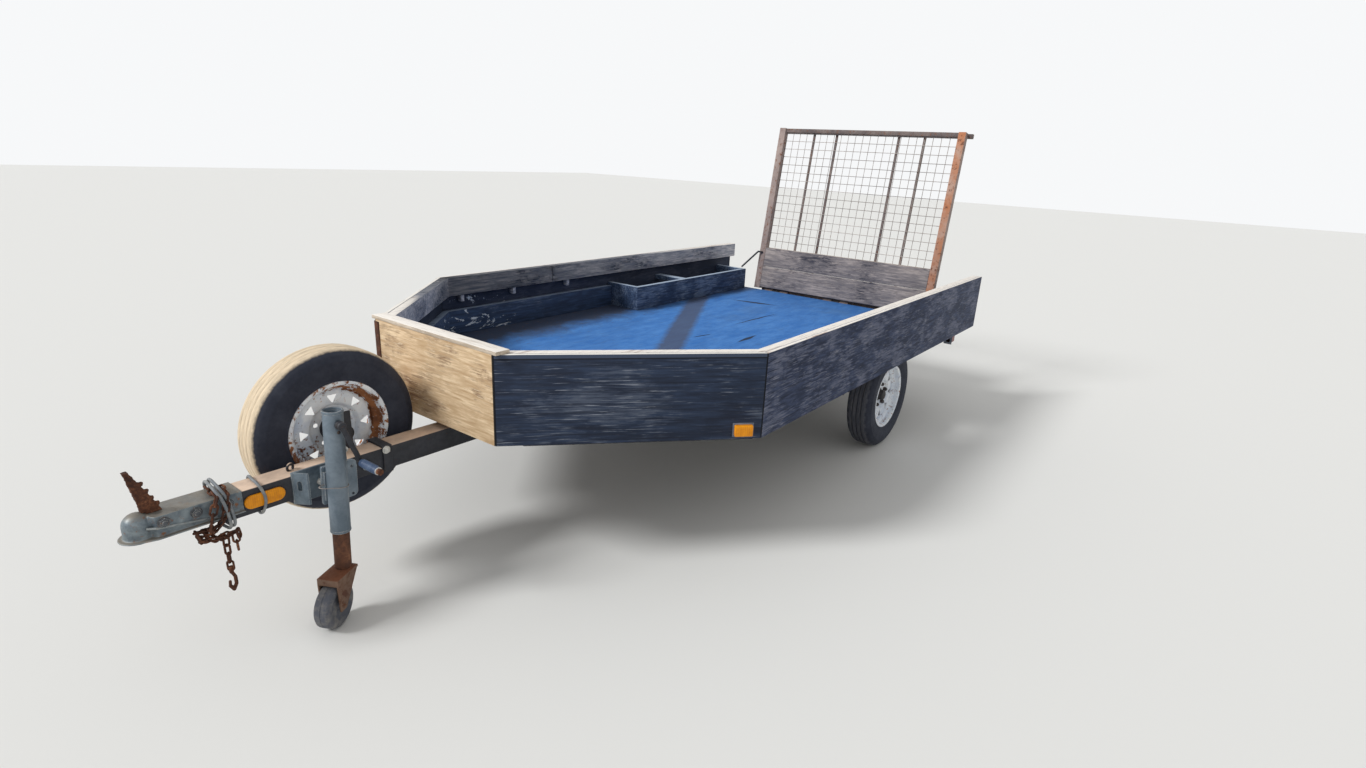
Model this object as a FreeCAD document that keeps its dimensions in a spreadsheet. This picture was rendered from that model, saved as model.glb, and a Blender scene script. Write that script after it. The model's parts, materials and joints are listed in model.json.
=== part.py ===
import FreeCAD, Part
import math
import os
import re
from FreeCAD import Placement, Rotation, Vector

# A single-axle utility trailer with timber sides, a pointed nose, a mesh ramp gate at the rear,
# a spare wheel beside the drawbar and a swivel jack with a castor wheel.
# +X is forward, towards the coupler, +Y is the left side, +Z is up, and z = 0 is the ground.

doc = FreeCAD.newDocument("UtilityTrailer")
sheet = doc.addObject("Spreadsheet::Sheet", "Sizes")

# name, number in mm (or degrees), what it is
drivingSizes = [
    ("axleX", -919.87, "axle line ahead of the origin"),
    ("boxWidth", 1830, "outer width over the side panels"),
    ("sideLength", 2510, "length of the straight side panels"),
    ("noseLength", 668, "length of the pointed nose, along X"),
    ("frontWidth", 652, "outer width of the front panel"),
    ("panelHeight", 305, "height of every panel"),
    ("panelThick", 16, "plywood of the panels"),
    ("panelBottom", 490, "lower edge of the panels above the ground"),
    ("axleSetback", 1060, "axle ahead of the rear end of the side panels"),
    ("deckRise", 22, "deck's top above the panels' lower edge"),
    ("deckThick", 18, "plywood of the deck"),
    ("hingeSetback", 92, "gate hinge ahead of the rear end of the side panels"),
    ("hingeDrop", 7, "gate hinge line below the deck's top"),
    ("deckGap", 14, "deck's rear edge ahead of the hinge line"),
    ("rimBoardHeight", 89, "board inside the panels' upper edge"),
    ("rimBoardThick", 38, "its thickness"),
    ("kickBoardHeight", 120, "board inside the panels along the deck"),
    ("kickBoardThick", 34, "its thickness"),
    ("wheelGap", 18, "wheel box's board inside the tyre"),
    ("wheelBoxBoard", 28, "its boards"),
    ("wheelBoxHeight", 138, "its height above the deck"),
    ("wheelBoxRear", 150, "its rear end ahead of the side panels' rear end"),
    ("wheelBoxFront", 1340, "its front end ahead of the side panels' rear end"),
    ("wheelBoxTie", 830, "its middle board ahead of the side panels' rear end"),
    ("wellLength", 340, "opening in the deck over each wheel"),
    ("crossHeight", 27, "cross members, height"),
    ("crossWidth", 50, "cross members, width"),
    ("crossWall", 3, "cross members, wall"),
    ("crossInset", 32, "cross members' ends inside the panels"),
    ("crossAside", 210, "cross members beside the wheel wells"),
    ("crossFore", 190, "cross member ahead of the middle between axle and corner"),
    ("crossCorner", 20, "cross member behind the nose's corner"),
    ("railSize", 50, "frame rails, square"),
    ("railWall", 4, "frame rails, wall"),
    ("railInset", 99, "frame rails' middle inside the wheel box"),
    ("railFront", 2465, "frame rails' front end ahead of the side panels' rear end"),
    ("drawbarSize", 76, "drawbar, square"),
    ("drawbarWall", 5, "drawbar, wall"),
    ("drawbarTail", 300, "drawbar's rear end behind the axle"),
    ("drawbarReach", 700, "drawbar's front end ahead of the front panel"),
    ("tyreOuterGap", 64, "tyre's outer face inside the side panel"),
    ("tyreRadius", 268, "road and spare tyres"),
    ("tyreWidth", 130, "their section width"),
    ("tyreWall", 13, "their wall"),
    ("beadRadius", 152, "rim's bead seat"),
    ("flangeRadius", 163, "rim's flange"),
    ("rimWidth", 112, "over the flanges"),
    ("rimWall", 4, "rim's sheet"),
    ("wellRadius", 134, "rim's drop centre"),
    ("discRadius", 74, "flat middle of the disc"),
    ("discCrown", 16, "disc's raised ring above its middle"),
    ("slotCircle", 103, "circle of the disc's windows"),
    ("slotReach", 19, "windows' corners from their middle"),
    ("slotCorner", 18, "half angle of a window's blunt corner"),
    ("slotCount", 8, "the windows' number"),
    ("boreRadius", 34, "disc's centre bore"),
    ("studCircle", 57.15, "wheel studs' circle radius"),
    ("studCount", 5, "wheel studs"),
    ("studHole", 7.5, "disc's stud holes"),
    ("studRadius", 6.35, "wheel studs"),
    ("nutRadius", 10, "wheel nuts"),
    ("nutHeight", 16, "wheel nuts' height"),
    ("hubFlange", 70, "hub flange radius"),
    ("hubFlangeThick", 10, "hub flange"),
    ("hubRadius", 36, "hub barrel radius"),
    ("hubLength", 74, "hub barrel inside the flange"),
    ("capRadius", 27, "dust cap radius"),
    ("capLength", 34, "dust cap outside the flange"),
    ("spindleRadius", 15, "axle spindle radius"),
    ("runningGap", 0.3, "gap round a turning shaft"),
    ("seatGap", 0.3, "gap at a seat between round pieces"),
    ("axleRadius", 25, "axle tube radius"),
    ("springSeat", 10, "seat between axle and springs"),
    ("leafThick", 6, "one spring leaf"),
    ("leafWidth", 45, "spring leaves' width"),
    ("leafCount", 4, "leaves in a spring"),
    ("springSpan", 620, "between a spring's eyes"),
    ("eyeRadius", 13, "spring eyes, outer"),
    ("pinRadius", 7, "spring pins"),
    ("hangerDrop", 62, "spring eyes below the rails"),
    ("hangerThick", 6, "hanger plates"),
    ("hangerWidth", 46, "hanger plates' width"),
    ("clampBolt", 6, "axle clamp bolts' radius"),
    ("clampPlate", 8, "axle clamp plates"),
    ("gateHeight", 1122, "gate's top above its hinge line"),
    ("gateHalf", 634, "gate's half width"),
    ("gateShift", 30, "gate's middle left of the centre line"),
    ("gateLean", 9.5, "gate leans back, degrees"),
    ("gateFoot", 14, "gate's lower edge above its hinge line"),
    ("postSize", 44, "gate posts, square"),
    ("postWall", 4, "gate posts, wall"),
    ("topBar", 25, "gate's top bar, square"),
    ("topBarOver", 30, "top bar past the left post"),
    ("gateBar", 16, "gate's upright bars"),
    ("barInner", 214, "inner upright bars from the centre line"),
    ("barOuter", 380, "outer upright bars from the centre line"),
    ("gateBoards", 302, "top of the gate's boards above its hinge line"),
    ("gateBoardThick", 30, "gate's boards"),
    ("lowerBoard", 145, "lower board's height"),
    ("meshWire", 4, "mesh wire"),
    ("meshPitch", 51, "mesh squares"),
    ("knuckleRadius", 11, "hinge knuckles"),
    ("knuckleLength", 60, "hinge knuckles' length"),
    ("hingePin", 6, "hinge pin radius"),
    ("hingeStrap", 6, "hinge strap thickness"),
    ("hingeSpread", 460, "outer hinges from the centre line"),
    ("stayRadius", 6, "gate stay rod"),
    ("stayDrop", 36, "stay's upper end below the boards' top"),
    ("stayAhead", 118, "stay's lower end ahead of the gate"),
    ("stayAside", 68, "stay's lower end outside the gate"),
    ("stayFoot", 146, "stay's lower end above the hinge line"),
    ("couplerWall", 4, "coupler's sheet"),
    ("couplerRear", 62, "coupler's rear end behind the drawbar's front end"),
    ("couplerLength", 267, "coupler's length"),
    ("couplerDepth", 60, "coupler's channel, height"),
    ("lipWidth", 12, "coupler's flared lip"),
    ("domeRadius", 34, "coupler's ball dome"),
    ("domeRise", 25, "dome's centre below the channel's top"),
    ("domeLip", 12, "dome's flared lip"),
    ("channelReach", 28, "channel's front end behind the dome's centre"),
    ("socketRadius", 25.8, "coupler's ball socket"),
    ("latchBack", 57, "latch's rear end behind the dome's centre"),
    ("latchHeight", 122, "latch lever above the coupler"),
    ("latchWidth", 16, "latch lever"),
    ("jackX", 412, "jack tube ahead of the front panel"),
    ("jackLean", 2, "jack's foot leans forward, degrees"),
    ("jackY", 118, "jack tube from the centre line"),
    ("jackRadius", 28.5, "jack's outer tube"),
    ("jackWall", 3.5, "its wall"),
    ("jackTop", 668, "its top above the ground"),
    ("jackFoot", 285, "its lower end above the ground"),
    ("legRadius", 24, "jack's inner tube"),
    ("legTop", 460, "inner tube's top above the ground"),
    ("jackPivot", 430, "jack's swivel above the ground"),
    ("crankHeight", 630, "crank shaft above the ground"),
    ("crankBack", 50, "crank's grip behind its shaft"),
    ("crankDrop", 124, "crank's grip below its shaft"),
    ("gripLength", 86, "crank's grip"),
    ("gripRadius", 13, "crank's grip"),
    ("crankBar", 9, "crank arm, half width"),
    ("crankShaft", 7, "crank shaft radius"),
    ("castorRadius", 70, "castor wheel"),
    ("castorWidth", 50, "castor wheel's width"),
    ("castorTrail", 60, "castor wheel's axle from the leg's line"),
    ("castorYaw", 30, "castor's heading from +X, degrees"),
    ("castorPin", 6, "castor wheel's axle radius"),
    ("castorGap", 3, "beside and above the castor wheel"),
    ("forkThick", 5, "castor fork's plate"),
    ("forkPlate", 8, "castor fork's top plate"),
    ("forkLip", 22, "fork's front lip, height"),
    ("forkWidth", 46, "castor fork's legs at the top"),
    ("bracketBack", 73, "jack bracket behind the tube"),
    ("bracketAhead", 94, "jack bracket ahead of the tube"),
    ("bracketThick", 6, "jack bracket's plate"),
    ("bracketOver", 12, "jack bracket above and below the drawbar"),
    ("bracketEar", 40, "jack bracket's ears"),
    ("bracketSlant", 27, "ears lean towards the tube"),
    ("swivelRadius", 20, "jack swivel's boss"),
    ("swivelPlate", 8, "jack tube's swivel plate"),
    ("swivelPlateHalf", 48, "swivel plate's half length"),
    ("swivelPlateHigh", 60, "swivel plate's half height"),
    ("swivelPin", 8, "jack swivel's pin radius"),
    ("spareX", 288, "spare wheel's centre ahead of the front panel"),
    ("spareHeight", 516, "spare wheel's centre above the ground"),
    ("spareY", 131, "spare wheel's middle plane right of the centre line"),
    ("carrierWidth", 66, "spare carrier's plate, width"),
    ("carrierAhead", 17, "plate's middle ahead of the spare's centre"),
    ("carrierThick", 8, "spare carrier's plate"),
    ("carrierTop", 74, "plate's top above the spare's centre"),
    ("carrierStub", 24, "stub that holds the spare"),
    ("collarX", 190, "drawbar collar ahead of the front panel"),
    ("collarLength", 30, "drawbar collar"),
    ("collarThick", 8, "drawbar collar's plate"),
    ("markerLength", 64, "marker lamps"),
    ("markerHeight", 40, "marker lamps' height"),
    ("markerThick", 18, "marker lamps' depth"),
    ("markerInset", 36, "marker lamps from the nose's corner"),
    ("markerLift", 14, "marker lamps above the panels' lower edge"),
    ("tailLength", 70, "tail lamps along the side"),
    ("tailHeight", 52, "tail lamps' height"),
    ("tailDepth", 34, "tail lamps' depth"),
    ("tailBack", 300, "tail lamps ahead of the side panels' rear end"),
    ("reflectorX", 582, "drawbar reflector's middle ahead of the front panel"),
    ("reflectorLength", 110, "drawbar reflector"),
    ("reflectorHeight", 40, "drawbar reflector's height"),
    ("reflectorThick", 8, "drawbar reflector's depth"),
    ("chainWire", 6, "safety chain's wire"),
    ("linkLength", 36, "chain link's outer length"),
    ("linkWidth", 22, "chain link's outer width"),
    ("chainX", 698, "chain ahead of the front panel"),
    ("chainLift", 12, "chain's line off the faces it lies on"),
    ("linkBite", 0.6, "one link sunk into the next"),
    ("hookLength", 88, "chain hook"),
]

# name, formula over the names above
workedOut = [
    ("trackWidth", "boxWidth - 2 * (panelThick + tyreOuterGap) - tyreWidth"),
    ("wheelBoxInner", "trackWidth / 2 - tyreWidth / 2 - wheelBoxBoard - wheelGap"),
    ("railOffset", "wheelBoxInner - railInset"),
    ("rearX", "axleX - axleSetback"),
    ("cornerX", "rearX + sideLength"),
    ("frontX", "cornerX + noseLength"),
    ("deckTop", "panelBottom + deckRise"),
    ("deckBottom", "deckTop - deckThick"),
    ("frameTop", "deckBottom - crossHeight"),
    ("rimTop", "panelBottom + panelHeight"),
    ("drawbarBottom", "frameTop - drawbarSize"),
    ("drawbarFront", "frontX + drawbarReach"),
    ("hingeX", "rearX + hingeSetback"),
    ("hingeZ", "deckTop - hingeDrop"),
    ("deckRear", "hingeX + deckGap"),
    ("railBottom", "frameTop - railSize"),
    ("eyeZ", "railBottom - hangerDrop"),
    ("couplerBack", "drawbarFront - couplerRear"),
    ("couplerTop", "frameTop + couplerWall"),
    ("couplerLow", "couplerTop - couplerDepth"),
    ("domeX", "couplerBack + couplerLength - domeRadius"),
    ("domeZ", "couplerTop - domeRise"),
    ("tubeX", "frontX + jackX"),
    ("forkTop", "2 * castorRadius + castorGap + forkLip"),
    ("spareCentreX", "frontX + spareX"),
]

for row, (name, number, note) in enumerate(drivingSizes, 1):
    sheet.set(f"A{row}", note)
    sheet.set(f"B{row}", str(number))
    sheet.setAlias(f"B{row}", name)
for row, (name, text) in enumerate(workedOut, len(drivingSizes) + 1):
    sheet.set(f"A{row}", "worked out")
    sheet.set(f"B{row}", "=" + text)
    sheet.setAlias(f"B{row}", name)
doc.recompute()

names = {entry[0] for entry in drivingSizes + workedOut}
nodes = []


def size(name):
    """A value of the sheet."""
    return float(sheet.get(name))


def formula(text):
    """Writes an expression with the sheet's name before each of its aliases."""
    return re.sub(r"[A-Za-z]\w*", lambda word: "Sizes." + word[0] if word[0] in names else word[0], text)


def bind(thing, **formulas):
    """Binds properties to the sheet: x, y and z are the placement's base."""
    for key, text in formulas.items():
        path = "Placement.Base." + key if key in ("x", "y", "z") else key
        thing.setExpression(path, formula(text))
    return thing


def box(name, low, extent):
    """A block from its low corner and its extent, as formulas."""
    block = doc.addObject("Part::Box", name)
    return bind(block, x=low[0], y=low[1], z=low[2], Length=extent[0], Width=extent[1], Height=extent[2])


def cut(name, base, tool):
    """Base without tool."""
    result = doc.addObject("Part::Cut", name)
    result.Base = base
    result.Tool = tool
    return result


def fuse(name, *pieces):
    """One solid of several."""
    result = doc.addObject("Part::MultiFuse", name)
    result.Shapes = list(pieces)
    return result


def group(name, *pieces):
    """Separate solids in one sub-part."""
    result = doc.addObject("Part::Compound", name)
    result.Links = list(pieces)
    return result


def feature(name, shape, placement=None):
    """A sub-part whose shape comes from the sheet's values in code."""
    result = doc.addObject("Part::Feature", name)
    result.Shape = shape
    if placement:
        result.Placement = placement
    return result


def node(label, thing):
    """Names a finished sub-part."""
    thing.Label = label
    nodes.append(thing)
    return thing


def tube(name, low, extent, wall, along):
    """A rectangular tube along X or Y, open at both ends."""
    outer = box(name + "_outer", low, extent)
    shift = ["0" if axis == along else wall for axis in "XYZ"]
    inner = box(name + "_inner", [f"{a} + {b}" for a, b in zip(low, shift)],
                [f"{a} - 2 * {b}" for a, b in zip(extent, shift)])
    return cut(name, outer, inner)


def slab(points, low, high):
    """A flat plate with an outline of (x, y) points between two heights."""
    corners = [Vector(x, y, low) for x, y in points]
    return Part.Face(Part.makePolygon(corners + corners[:1])).extrude(Vector(0, 0, high - low))


def upright(points, low, high):
    """A plate with an outline of (x, z) points between two y values."""
    corners = [Vector(x, low, z) for x, z in points]
    return Part.Face(Part.makePolygon(corners + corners[:1])).extrude(Vector(0, high - low, 0))


def turned(points):
    """A ring about the Y axis with an outline of (radius, y) points."""
    corners = [Vector(r, y, 0) for r, y in points]
    return Part.Face(Part.makePolygon(corners + corners[:1])).revolve(Vector(), Vector(0, 1, 0), 360)


def pinAlong(direction, radius, start, length):
    """A solid cylinder along a direction from a start point."""
    return Part.makeCylinder(radius, length, Vector(*start), Vector(*direction))


# Frame: a drawbar and two rails carry the cross members, and the deck lies on those.

node("drawbar", tube("drawbar", ("axleX - drawbarTail", "-drawbarSize / 2", "drawbarBottom"),
                     ("drawbarFront - axleX + drawbarTail", "drawbarSize", "drawbarSize"), "drawbarWall", "X"))

rails = []
for side, sign in (("left", "1"), ("right", "-1")):
    rails.append(tube(f"rail_{side}", ("deckRear + crossWidth", f"{sign} * railOffset - railSize / 2", "railBottom"),
                      ("rearX + railFront - deckRear - crossWidth", "railSize", "railSize"), "railWall", "X"))
node("frame_rails", group("frame_rails", *rails))

# cross member, its rear face, its half length
crossTable = [
    ("hinge", "deckRear", "boxWidth / 2 - panelThick - crossInset"),
    ("rear", "axleX - wellLength / 2 - crossAside", "boxWidth / 2 - panelThick - crossInset"),
    ("axle", "axleX - crossWidth / 2", "railOffset + railSize / 2"),
    ("middle", "axleX + wellLength / 2 + crossAside", "boxWidth / 2 - panelThick - crossInset"),
    ("fore", "(axleX + cornerX) / 2 + crossFore", "boxWidth / 2 - panelThick - crossInset"),
    ("corner", "cornerX - crossWidth - crossCorner", "boxWidth / 2 - panelThick - crossInset"),
    ("front", "frontX - panelThick - crossInset - crossWidth", "frontWidth / 2 - crossInset"),
]
crosses = []
for name, rear, half in crossTable:
    crosses.append(tube(f"cross_{name}", (rear, f"-({half})", "frameTop"),
                        ("crossWidth", f"2 * ({half})", "crossHeight"), "crossWall", "Y"))
node("cross_members", group("cross_members", *crosses))


# Plan of the box: an oblong with a pointed nose, blunt at the front.

def planPoints(inset):
    """The left half's corners of the plan, inset from the outer faces: side, shoulder, front."""
    halfWidth = size("boxWidth") / 2
    halfFront = size("frontWidth") / 2
    slope = Vector(size("noseLength"), halfFront - halfWidth, 0).normalize()
    inward = Vector(slope.y, -slope.x, 0)
    start = Vector(size("cornerX"), halfWidth, 0) + inward * inset
    shoulder = start + slope * ((halfWidth - inset - start.y) / slope.y)
    front = start + slope * ((size("frontX") - inset - start.x) / slope.x)
    return [(shoulder.x, halfWidth - inset), (front.x, front.y)]


def mirrored(points):
    """The same outline on the right side."""
    return [(x, -y) for x, y in points]


def wallPiece(part, outer, inner, low, high, rear=None):
    """A board along the side, the nose or the front, between two insets, mitred at its ends."""
    outside = planPoints(outer)
    inside = planPoints(inner)
    if part == "side":
        start = size("rearX") if rear is None else rear
        outline = [(start, outside[0][1]), outside[0], inside[0], (start, inside[0][1])]
    elif part == "nose":
        outline = [outside[0], outside[1], inside[1], inside[0]]
    else:
        outline = [outside[1], (outside[1][0], -outside[1][1]), (inside[1][0], -inside[1][1]), inside[1]]
    return slab(outline, low, high)


def pair(shape):
    """The shape and its mirror image on the other side."""
    return [shape, shape.mirror(Vector(), Vector(0, 1, 0))]


panelThick = size("panelThick")
deckTop = size("deckTop")
rimTop = size("rimTop")
halfWidth = size("boxWidth") / 2

frameTop = size("frameTop")
deckBottom = size("deckBottom")
railOuter = panelThick + size("crossInset")
nosePath = wallPiece("nose", railOuter, railOuter + size("crossWidth"), frameTop, deckBottom)
railRear = size("cornerX") - size("crossCorner")
railFront = size("frontX") - railOuter - size("crossWidth")
between = [(railRear, 0), (railFront, 0), (railFront, halfWidth), (railRear, halfWidth)]
noseRails = Part.makeCompound(pair(nosePath.common(slab(between, frameTop, deckBottom))))
node("nose_rails", feature("nose_rails", noseRails))

shoulder, front = planPoints(panelThick)
deckHalf = [(size("deckRear"), shoulder[1]), shoulder, front]
deck = slab(deckHalf + mirrored(deckHalf)[::-1], deckBottom, deckTop)
wellInner = size("wheelBoxInner") + size("wheelBoxBoard")
for sign in (1, -1):
    well = Part.makeBox(size("wellLength"), halfWidth - wellInner, size("deckThick"),
                        Vector(size("axleX") - size("wellLength") / 2, min(sign * wellInner, sign * halfWidth),
                               deckBottom))
    deck = deck.cut(well)
node("deck", feature("deck", deck))

for side, sign in (("left", 1), ("right", -1)):
    for part in ("side", "nose"):
        panel = wallPiece(part, 0, panelThick, size("panelBottom"), rimTop)
        node(f"{part}_panel_{side}", feature(f"{part}_panel_{side}", pair(panel)[0 if sign > 0 else 1]))
node("front_panel", feature("front_panel", wallPiece("front", 0, panelThick, size("panelBottom"), rimTop)))

rimInner = panelThick + size("rimBoardThick")
rimLow = rimTop - size("rimBoardHeight")
rimBoards = [wallPiece("front", panelThick, rimInner, rimLow, rimTop)]
for part in ("side", "nose"):
    rimBoards += pair(wallPiece(part, panelThick, rimInner, rimLow, rimTop))
node("rim_boards", feature("rim_boards", Part.makeCompound(rimBoards)))

kickInner = panelThick + size("kickBoardThick")
kickTop = deckTop + size("kickBoardHeight")
boxFront = size("rearX") + size("wheelBoxFront")
kickBoards = pair(wallPiece("side", panelThick, kickInner, deckTop, kickTop, boxFront))
kickBoards += pair(wallPiece("nose", panelThick, kickInner, deckTop, kickTop))
node("kick_boards", feature("kick_boards", Part.makeCompound(kickBoards)))

# Wheel boxes: one long board inside each wheel, tied to the side panel at both ends and in the middle.
for side, sign in (("left", "1"), ("right", "-1")):
    inner = f"min({sign} * wheelBoxInner; {sign} * (wheelBoxInner + wheelBoxBoard))"
    across = f"min({sign} * wheelBoxInner; {sign} * (boxWidth / 2 - panelThick))"
    reach = "boxWidth / 2 - panelThick - wheelBoxInner"
    boards = [
        box(f"wheel_board_{side}", ("rearX + wheelBoxRear", inner, "deckTop"),
            ("wheelBoxFront - wheelBoxRear", "wheelBoxBoard", "wheelBoxHeight")),
        box(f"wheel_end_front_{side}", ("rearX + wheelBoxFront - wheelBoxBoard", across, "deckTop"),
            ("wheelBoxBoard", reach, "wheelBoxHeight")),
        box(f"wheel_end_rear_{side}", ("rearX + wheelBoxRear", across, "deckTop"),
            ("wheelBoxBoard", reach, "wheelBoxHeight")),
        box(f"wheel_tie_{side}", ("rearX + wheelBoxTie", across, "deckTop + wheelBoxHeight - wheelBoxBoard"),
            ("wheelBoxBoard * 2", reach, "wheelBoxBoard")),
    ]
    node(f"wheel_box_{side}", fuse(f"wheel_box_{side}", *boards))


# Axle, springs and their hangers.

wheelY = size("trackWidth") / 2
axleZ = size("tyreRadius")
axleX = size("axleX")
spindleEnd = wheelY + size("capLength") - 14
hubInner = wheelY - size("hubLength") - size("hubFlangeThick")
axleTube = pinAlong((0, 1, 0), size("axleRadius"), (axleX, 8 - hubInner, axleZ), 2 * hubInner - 16)
spindle = pinAlong((0, 1, 0), size("spindleRadius"), (axleX, -spindleEnd, axleZ), 2 * spindleEnd)
node("axle_beam", feature("axle_beam", axleTube.fuse(spindle)))

springLow = axleZ + size("axleRadius") + size("springSeat")
packTop = springLow + size("leafThick") * size("leafCount")
railOffset = size("railOffset")
halfSpan = size("springSpan") / 2
springRise = size("eyeZ") + size("eyeRadius") - packTop
bendRadius = (halfSpan ** 2 + springRise ** 2) / (2 * springRise)


def leaf(top, halfLength):
    """One curved leaf below the arc of the main leaf's top."""
    drop = packTop - top
    radius = bendRadius + drop
    centre = packTop + bendRadius
    reach = math.asin(halfLength / radius)
    arcs = []
    for r in (radius, radius + size("leafThick")):
        arcs.append([Vector(axleX + r * math.sin(a), 0, centre - r * math.cos(a)) for a in (-reach, 0, reach)])
    edges = [Part.Arc(*arcs[0]).toShape(), Part.makeLine(arcs[0][2], arcs[1][2]),
             Part.Arc(*arcs[1]).toShape(), Part.makeLine(arcs[1][0], arcs[0][0])]
    return Part.Face(Part.Wire(Part.__sortEdges__(edges))).extrude(Vector(0, size("leafWidth"), 0))


springs = []
hangers = []
clamps = []
for sign in (1, -1):
    y = sign * railOffset
    start = y - size("leafWidth") / 2
    pack = leaf(packTop, halfSpan)
    for count in range(1, int(size("leafCount"))):
        share = 1 - 0.2 * count
        pack = pack.fuse(leaf(packTop - count * size("leafThick"), halfSpan * share))
    pack.translate(Vector(0, start, 0))
    for end in (-1, 1):
        eyeX = axleX + end * halfSpan
        pack = pack.fuse(pinAlong((0, 1, 0), size("eyeRadius"), (eyeX, start, size("eyeZ")), size("leafWidth")))
    for end in (-1, 1):
        eyeX = axleX + end * halfSpan
        hole = pinAlong((0, 1, 0), size("pinRadius") + size("runningGap"), (eyeX, start - 1, size("eyeZ")),
                        size("leafWidth") + 2)
        pack = pack.cut(hole)
        plates = []
        for face in (-1, 1):
            plateY = y + face * (size("leafWidth") / 2 + 2 + size("hangerThick") / 2)
            plates.append(Part.makeBox(size("hangerWidth"), size("hangerThick"),
                                       size("hangerDrop") + size("eyeRadius"),
                                       Vector(eyeX - size("hangerWidth") / 2, plateY - size("hangerThick") / 2,
                                              size("eyeZ") - size("eyeRadius"))))
        pinLength = size("leafWidth") + 4 + 2 * size("hangerThick")
        pin = pinAlong((0, 1, 0), size("pinRadius"), (eyeX, y - pinLength / 2, size("eyeZ")), pinLength)
        hangers.append(pin.fuse(plates))
    springs.append(pack)

    spread = size("leafWidth") / 2 + size("clampBolt") + 1
    reach = size("axleRadius") + size("clampBolt") + 1
    plateX = 2 * (reach + size("clampBolt") + 4)
    plateY = 2 * (spread + size("clampBolt") + 4)
    seat = Part.makeBox(plateX - 24, size("leafWidth"), size("springSeat") + 12,
                        Vector(axleX - plateX / 2 + 12, start, springLow - size("springSeat") - 12))
    seat = seat.cut(pinAlong((0, 1, 0), size("axleRadius") + size("seatGap"), (axleX, start - 1, axleZ),
                             size("leafWidth") + 2))
    bottom = axleZ - size("axleRadius") - size("clampPlate")
    sag = bendRadius - math.sqrt(bendRadius ** 2 - (plateX / 2) ** 2)
    plateLow = packTop + sag + size("seatGap")
    irons = []
    for level in (bottom, plateLow):
        irons.append(Part.makeBox(plateX, plateY, size("clampPlate"),
                                  Vector(axleX - plateX / 2, y - plateY / 2, level)))
    for ahead in (-1, 1):
        for beside in (-1, 1):
            irons.append(pinAlong((0, 0, 1), size("clampBolt"),
                                  (axleX + ahead * reach, y + beside * spread, bottom - 8),
                                  plateLow - bottom + size("clampPlate") + 16))
    clamps.append(irons[0].fuse(irons[1:]))
    clamps.append(seat)
node("leaf_springs", feature("leaf_springs", Part.makeCompound(springs)))
node("spring_hangers", feature("spring_hangers", Part.makeCompound(hangers)))
node("axle_clamps", feature("axle_clamps", Part.makeCompound(clamps)))


# Wheels: each is made about the Y axis with its outer face towards +Y.

def tyreShape():
    radius, half, bead = size("tyreRadius"), size("tyreWidth") / 2, size("beadRadius") + size("seatGap")
    wall, seat = size("tyreWall"), size("rimWidth") / 2 - size("rimWall") - 1
    shoulder = radius - 22
    belly = (radius + bead) / 2 + 8
    right = [(bead, seat - wall), (bead, seat), (bead + 14, seat + 1), (belly, half), (shoulder, half - 6),
             (radius, half - 26)]
    left = [(r, -y) for r, y in reversed(right)]
    cavity = [(belly - 6, -(half - wall)), (radius - wall, -(half - 36)), (radius - wall, half - 36),
              (belly - 6, half - wall)]
    return turned(right + left + cavity)


def rimShape():
    seat, flange, wall = size("beadRadius"), size("flangeRadius"), size("rimWall")
    half, well = size("rimWidth") / 2, size("wellRadius")
    right = [(flange, half), (flange, half - wall), (seat, half - wall), (seat, half - 26), (well, half - 34)]
    left = [(r, -y) for r, y in reversed(right)]
    back = [(well - wall, -(half - 38)), (seat - wall, -(half - 27)), (seat - wall, -half)]
    inside = back[::-1] + [(r, -y) for r, y in back]
    barrel = turned(right + left + inside)
    flat, crown, bore = size("discRadius"), size("discCrown"), size("boreRadius")
    ring = flat + 12
    disc = [(bore, 0), (flat, 0), (ring, crown), (size("slotCircle") + 14, crown), (well - wall, 6)]
    disc += [(well - wall, 6 + wall), (size("slotCircle") + 15, crown + wall), (ring - 2, crown + wall),
             (flat - 2, wall), (bore, wall)]
    rim = barrel.fuse(turned(disc))
    for count in range(int(size("slotCount"))):
        turn = math.radians(360 * count / size("slotCount"))
        outline = []
        for corner in (60, 180, 300):
            for side in (-size("slotCorner"), size("slotCorner")):
                angle = turn + math.radians(corner + side)
                outline.append((size("slotCircle") * math.cos(turn) + size("slotReach") * math.cos(angle),
                                size("slotCircle") * math.sin(turn) + size("slotReach") * math.sin(angle)))
        rim = rim.cut(upright(outline, 0, half))
    for count in range(int(size("studCount"))):
        turn = math.radians(90 + 360 * count / size("studCount"))
        rim = rim.cut(pinAlong((0, 1, 0), size("studHole"),
                               (size("studCircle") * math.cos(turn), -10, size("studCircle") * math.sin(turn)), 30))
    return rim


def hubShape():
    flange, thick, wall = size("hubFlange"), size("hubFlangeThick"), size("rimWall")
    bore = size("spindleRadius") + size("runningGap")
    hub = pinAlong((0, 1, 0), flange, (0, -thick, 0), thick)
    hub = hub.fuse(pinAlong((0, 1, 0), size("hubRadius"), (0, 8 - thick - size("hubLength"), 0),
                            size("hubLength") - 8))
    hub = hub.fuse(pinAlong((0, 1, 0), size("capRadius"), (0, 0, 0), size("capLength")))
    hub = hub.cut(pinAlong((0, 1, 0), bore, (0, -thick - size("hubLength"), 0),
                           thick + size("hubLength") + size("capLength") - 8))
    for count in range(int(size("studCount"))):
        turn = math.radians(90 + 360 * count / size("studCount"))
        x, z = size("studCircle") * math.cos(turn), size("studCircle") * math.sin(turn)
        hub = hub.fuse(pinAlong((0, 1, 0), size("studRadius"), (x, -1, z), wall + size("nutHeight") + 4))
        hub = hub.fuse(pinAlong((0, 1, 0), size("nutRadius"), (x, wall + 0.2, z), size("nutHeight")))
    return hub


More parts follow.
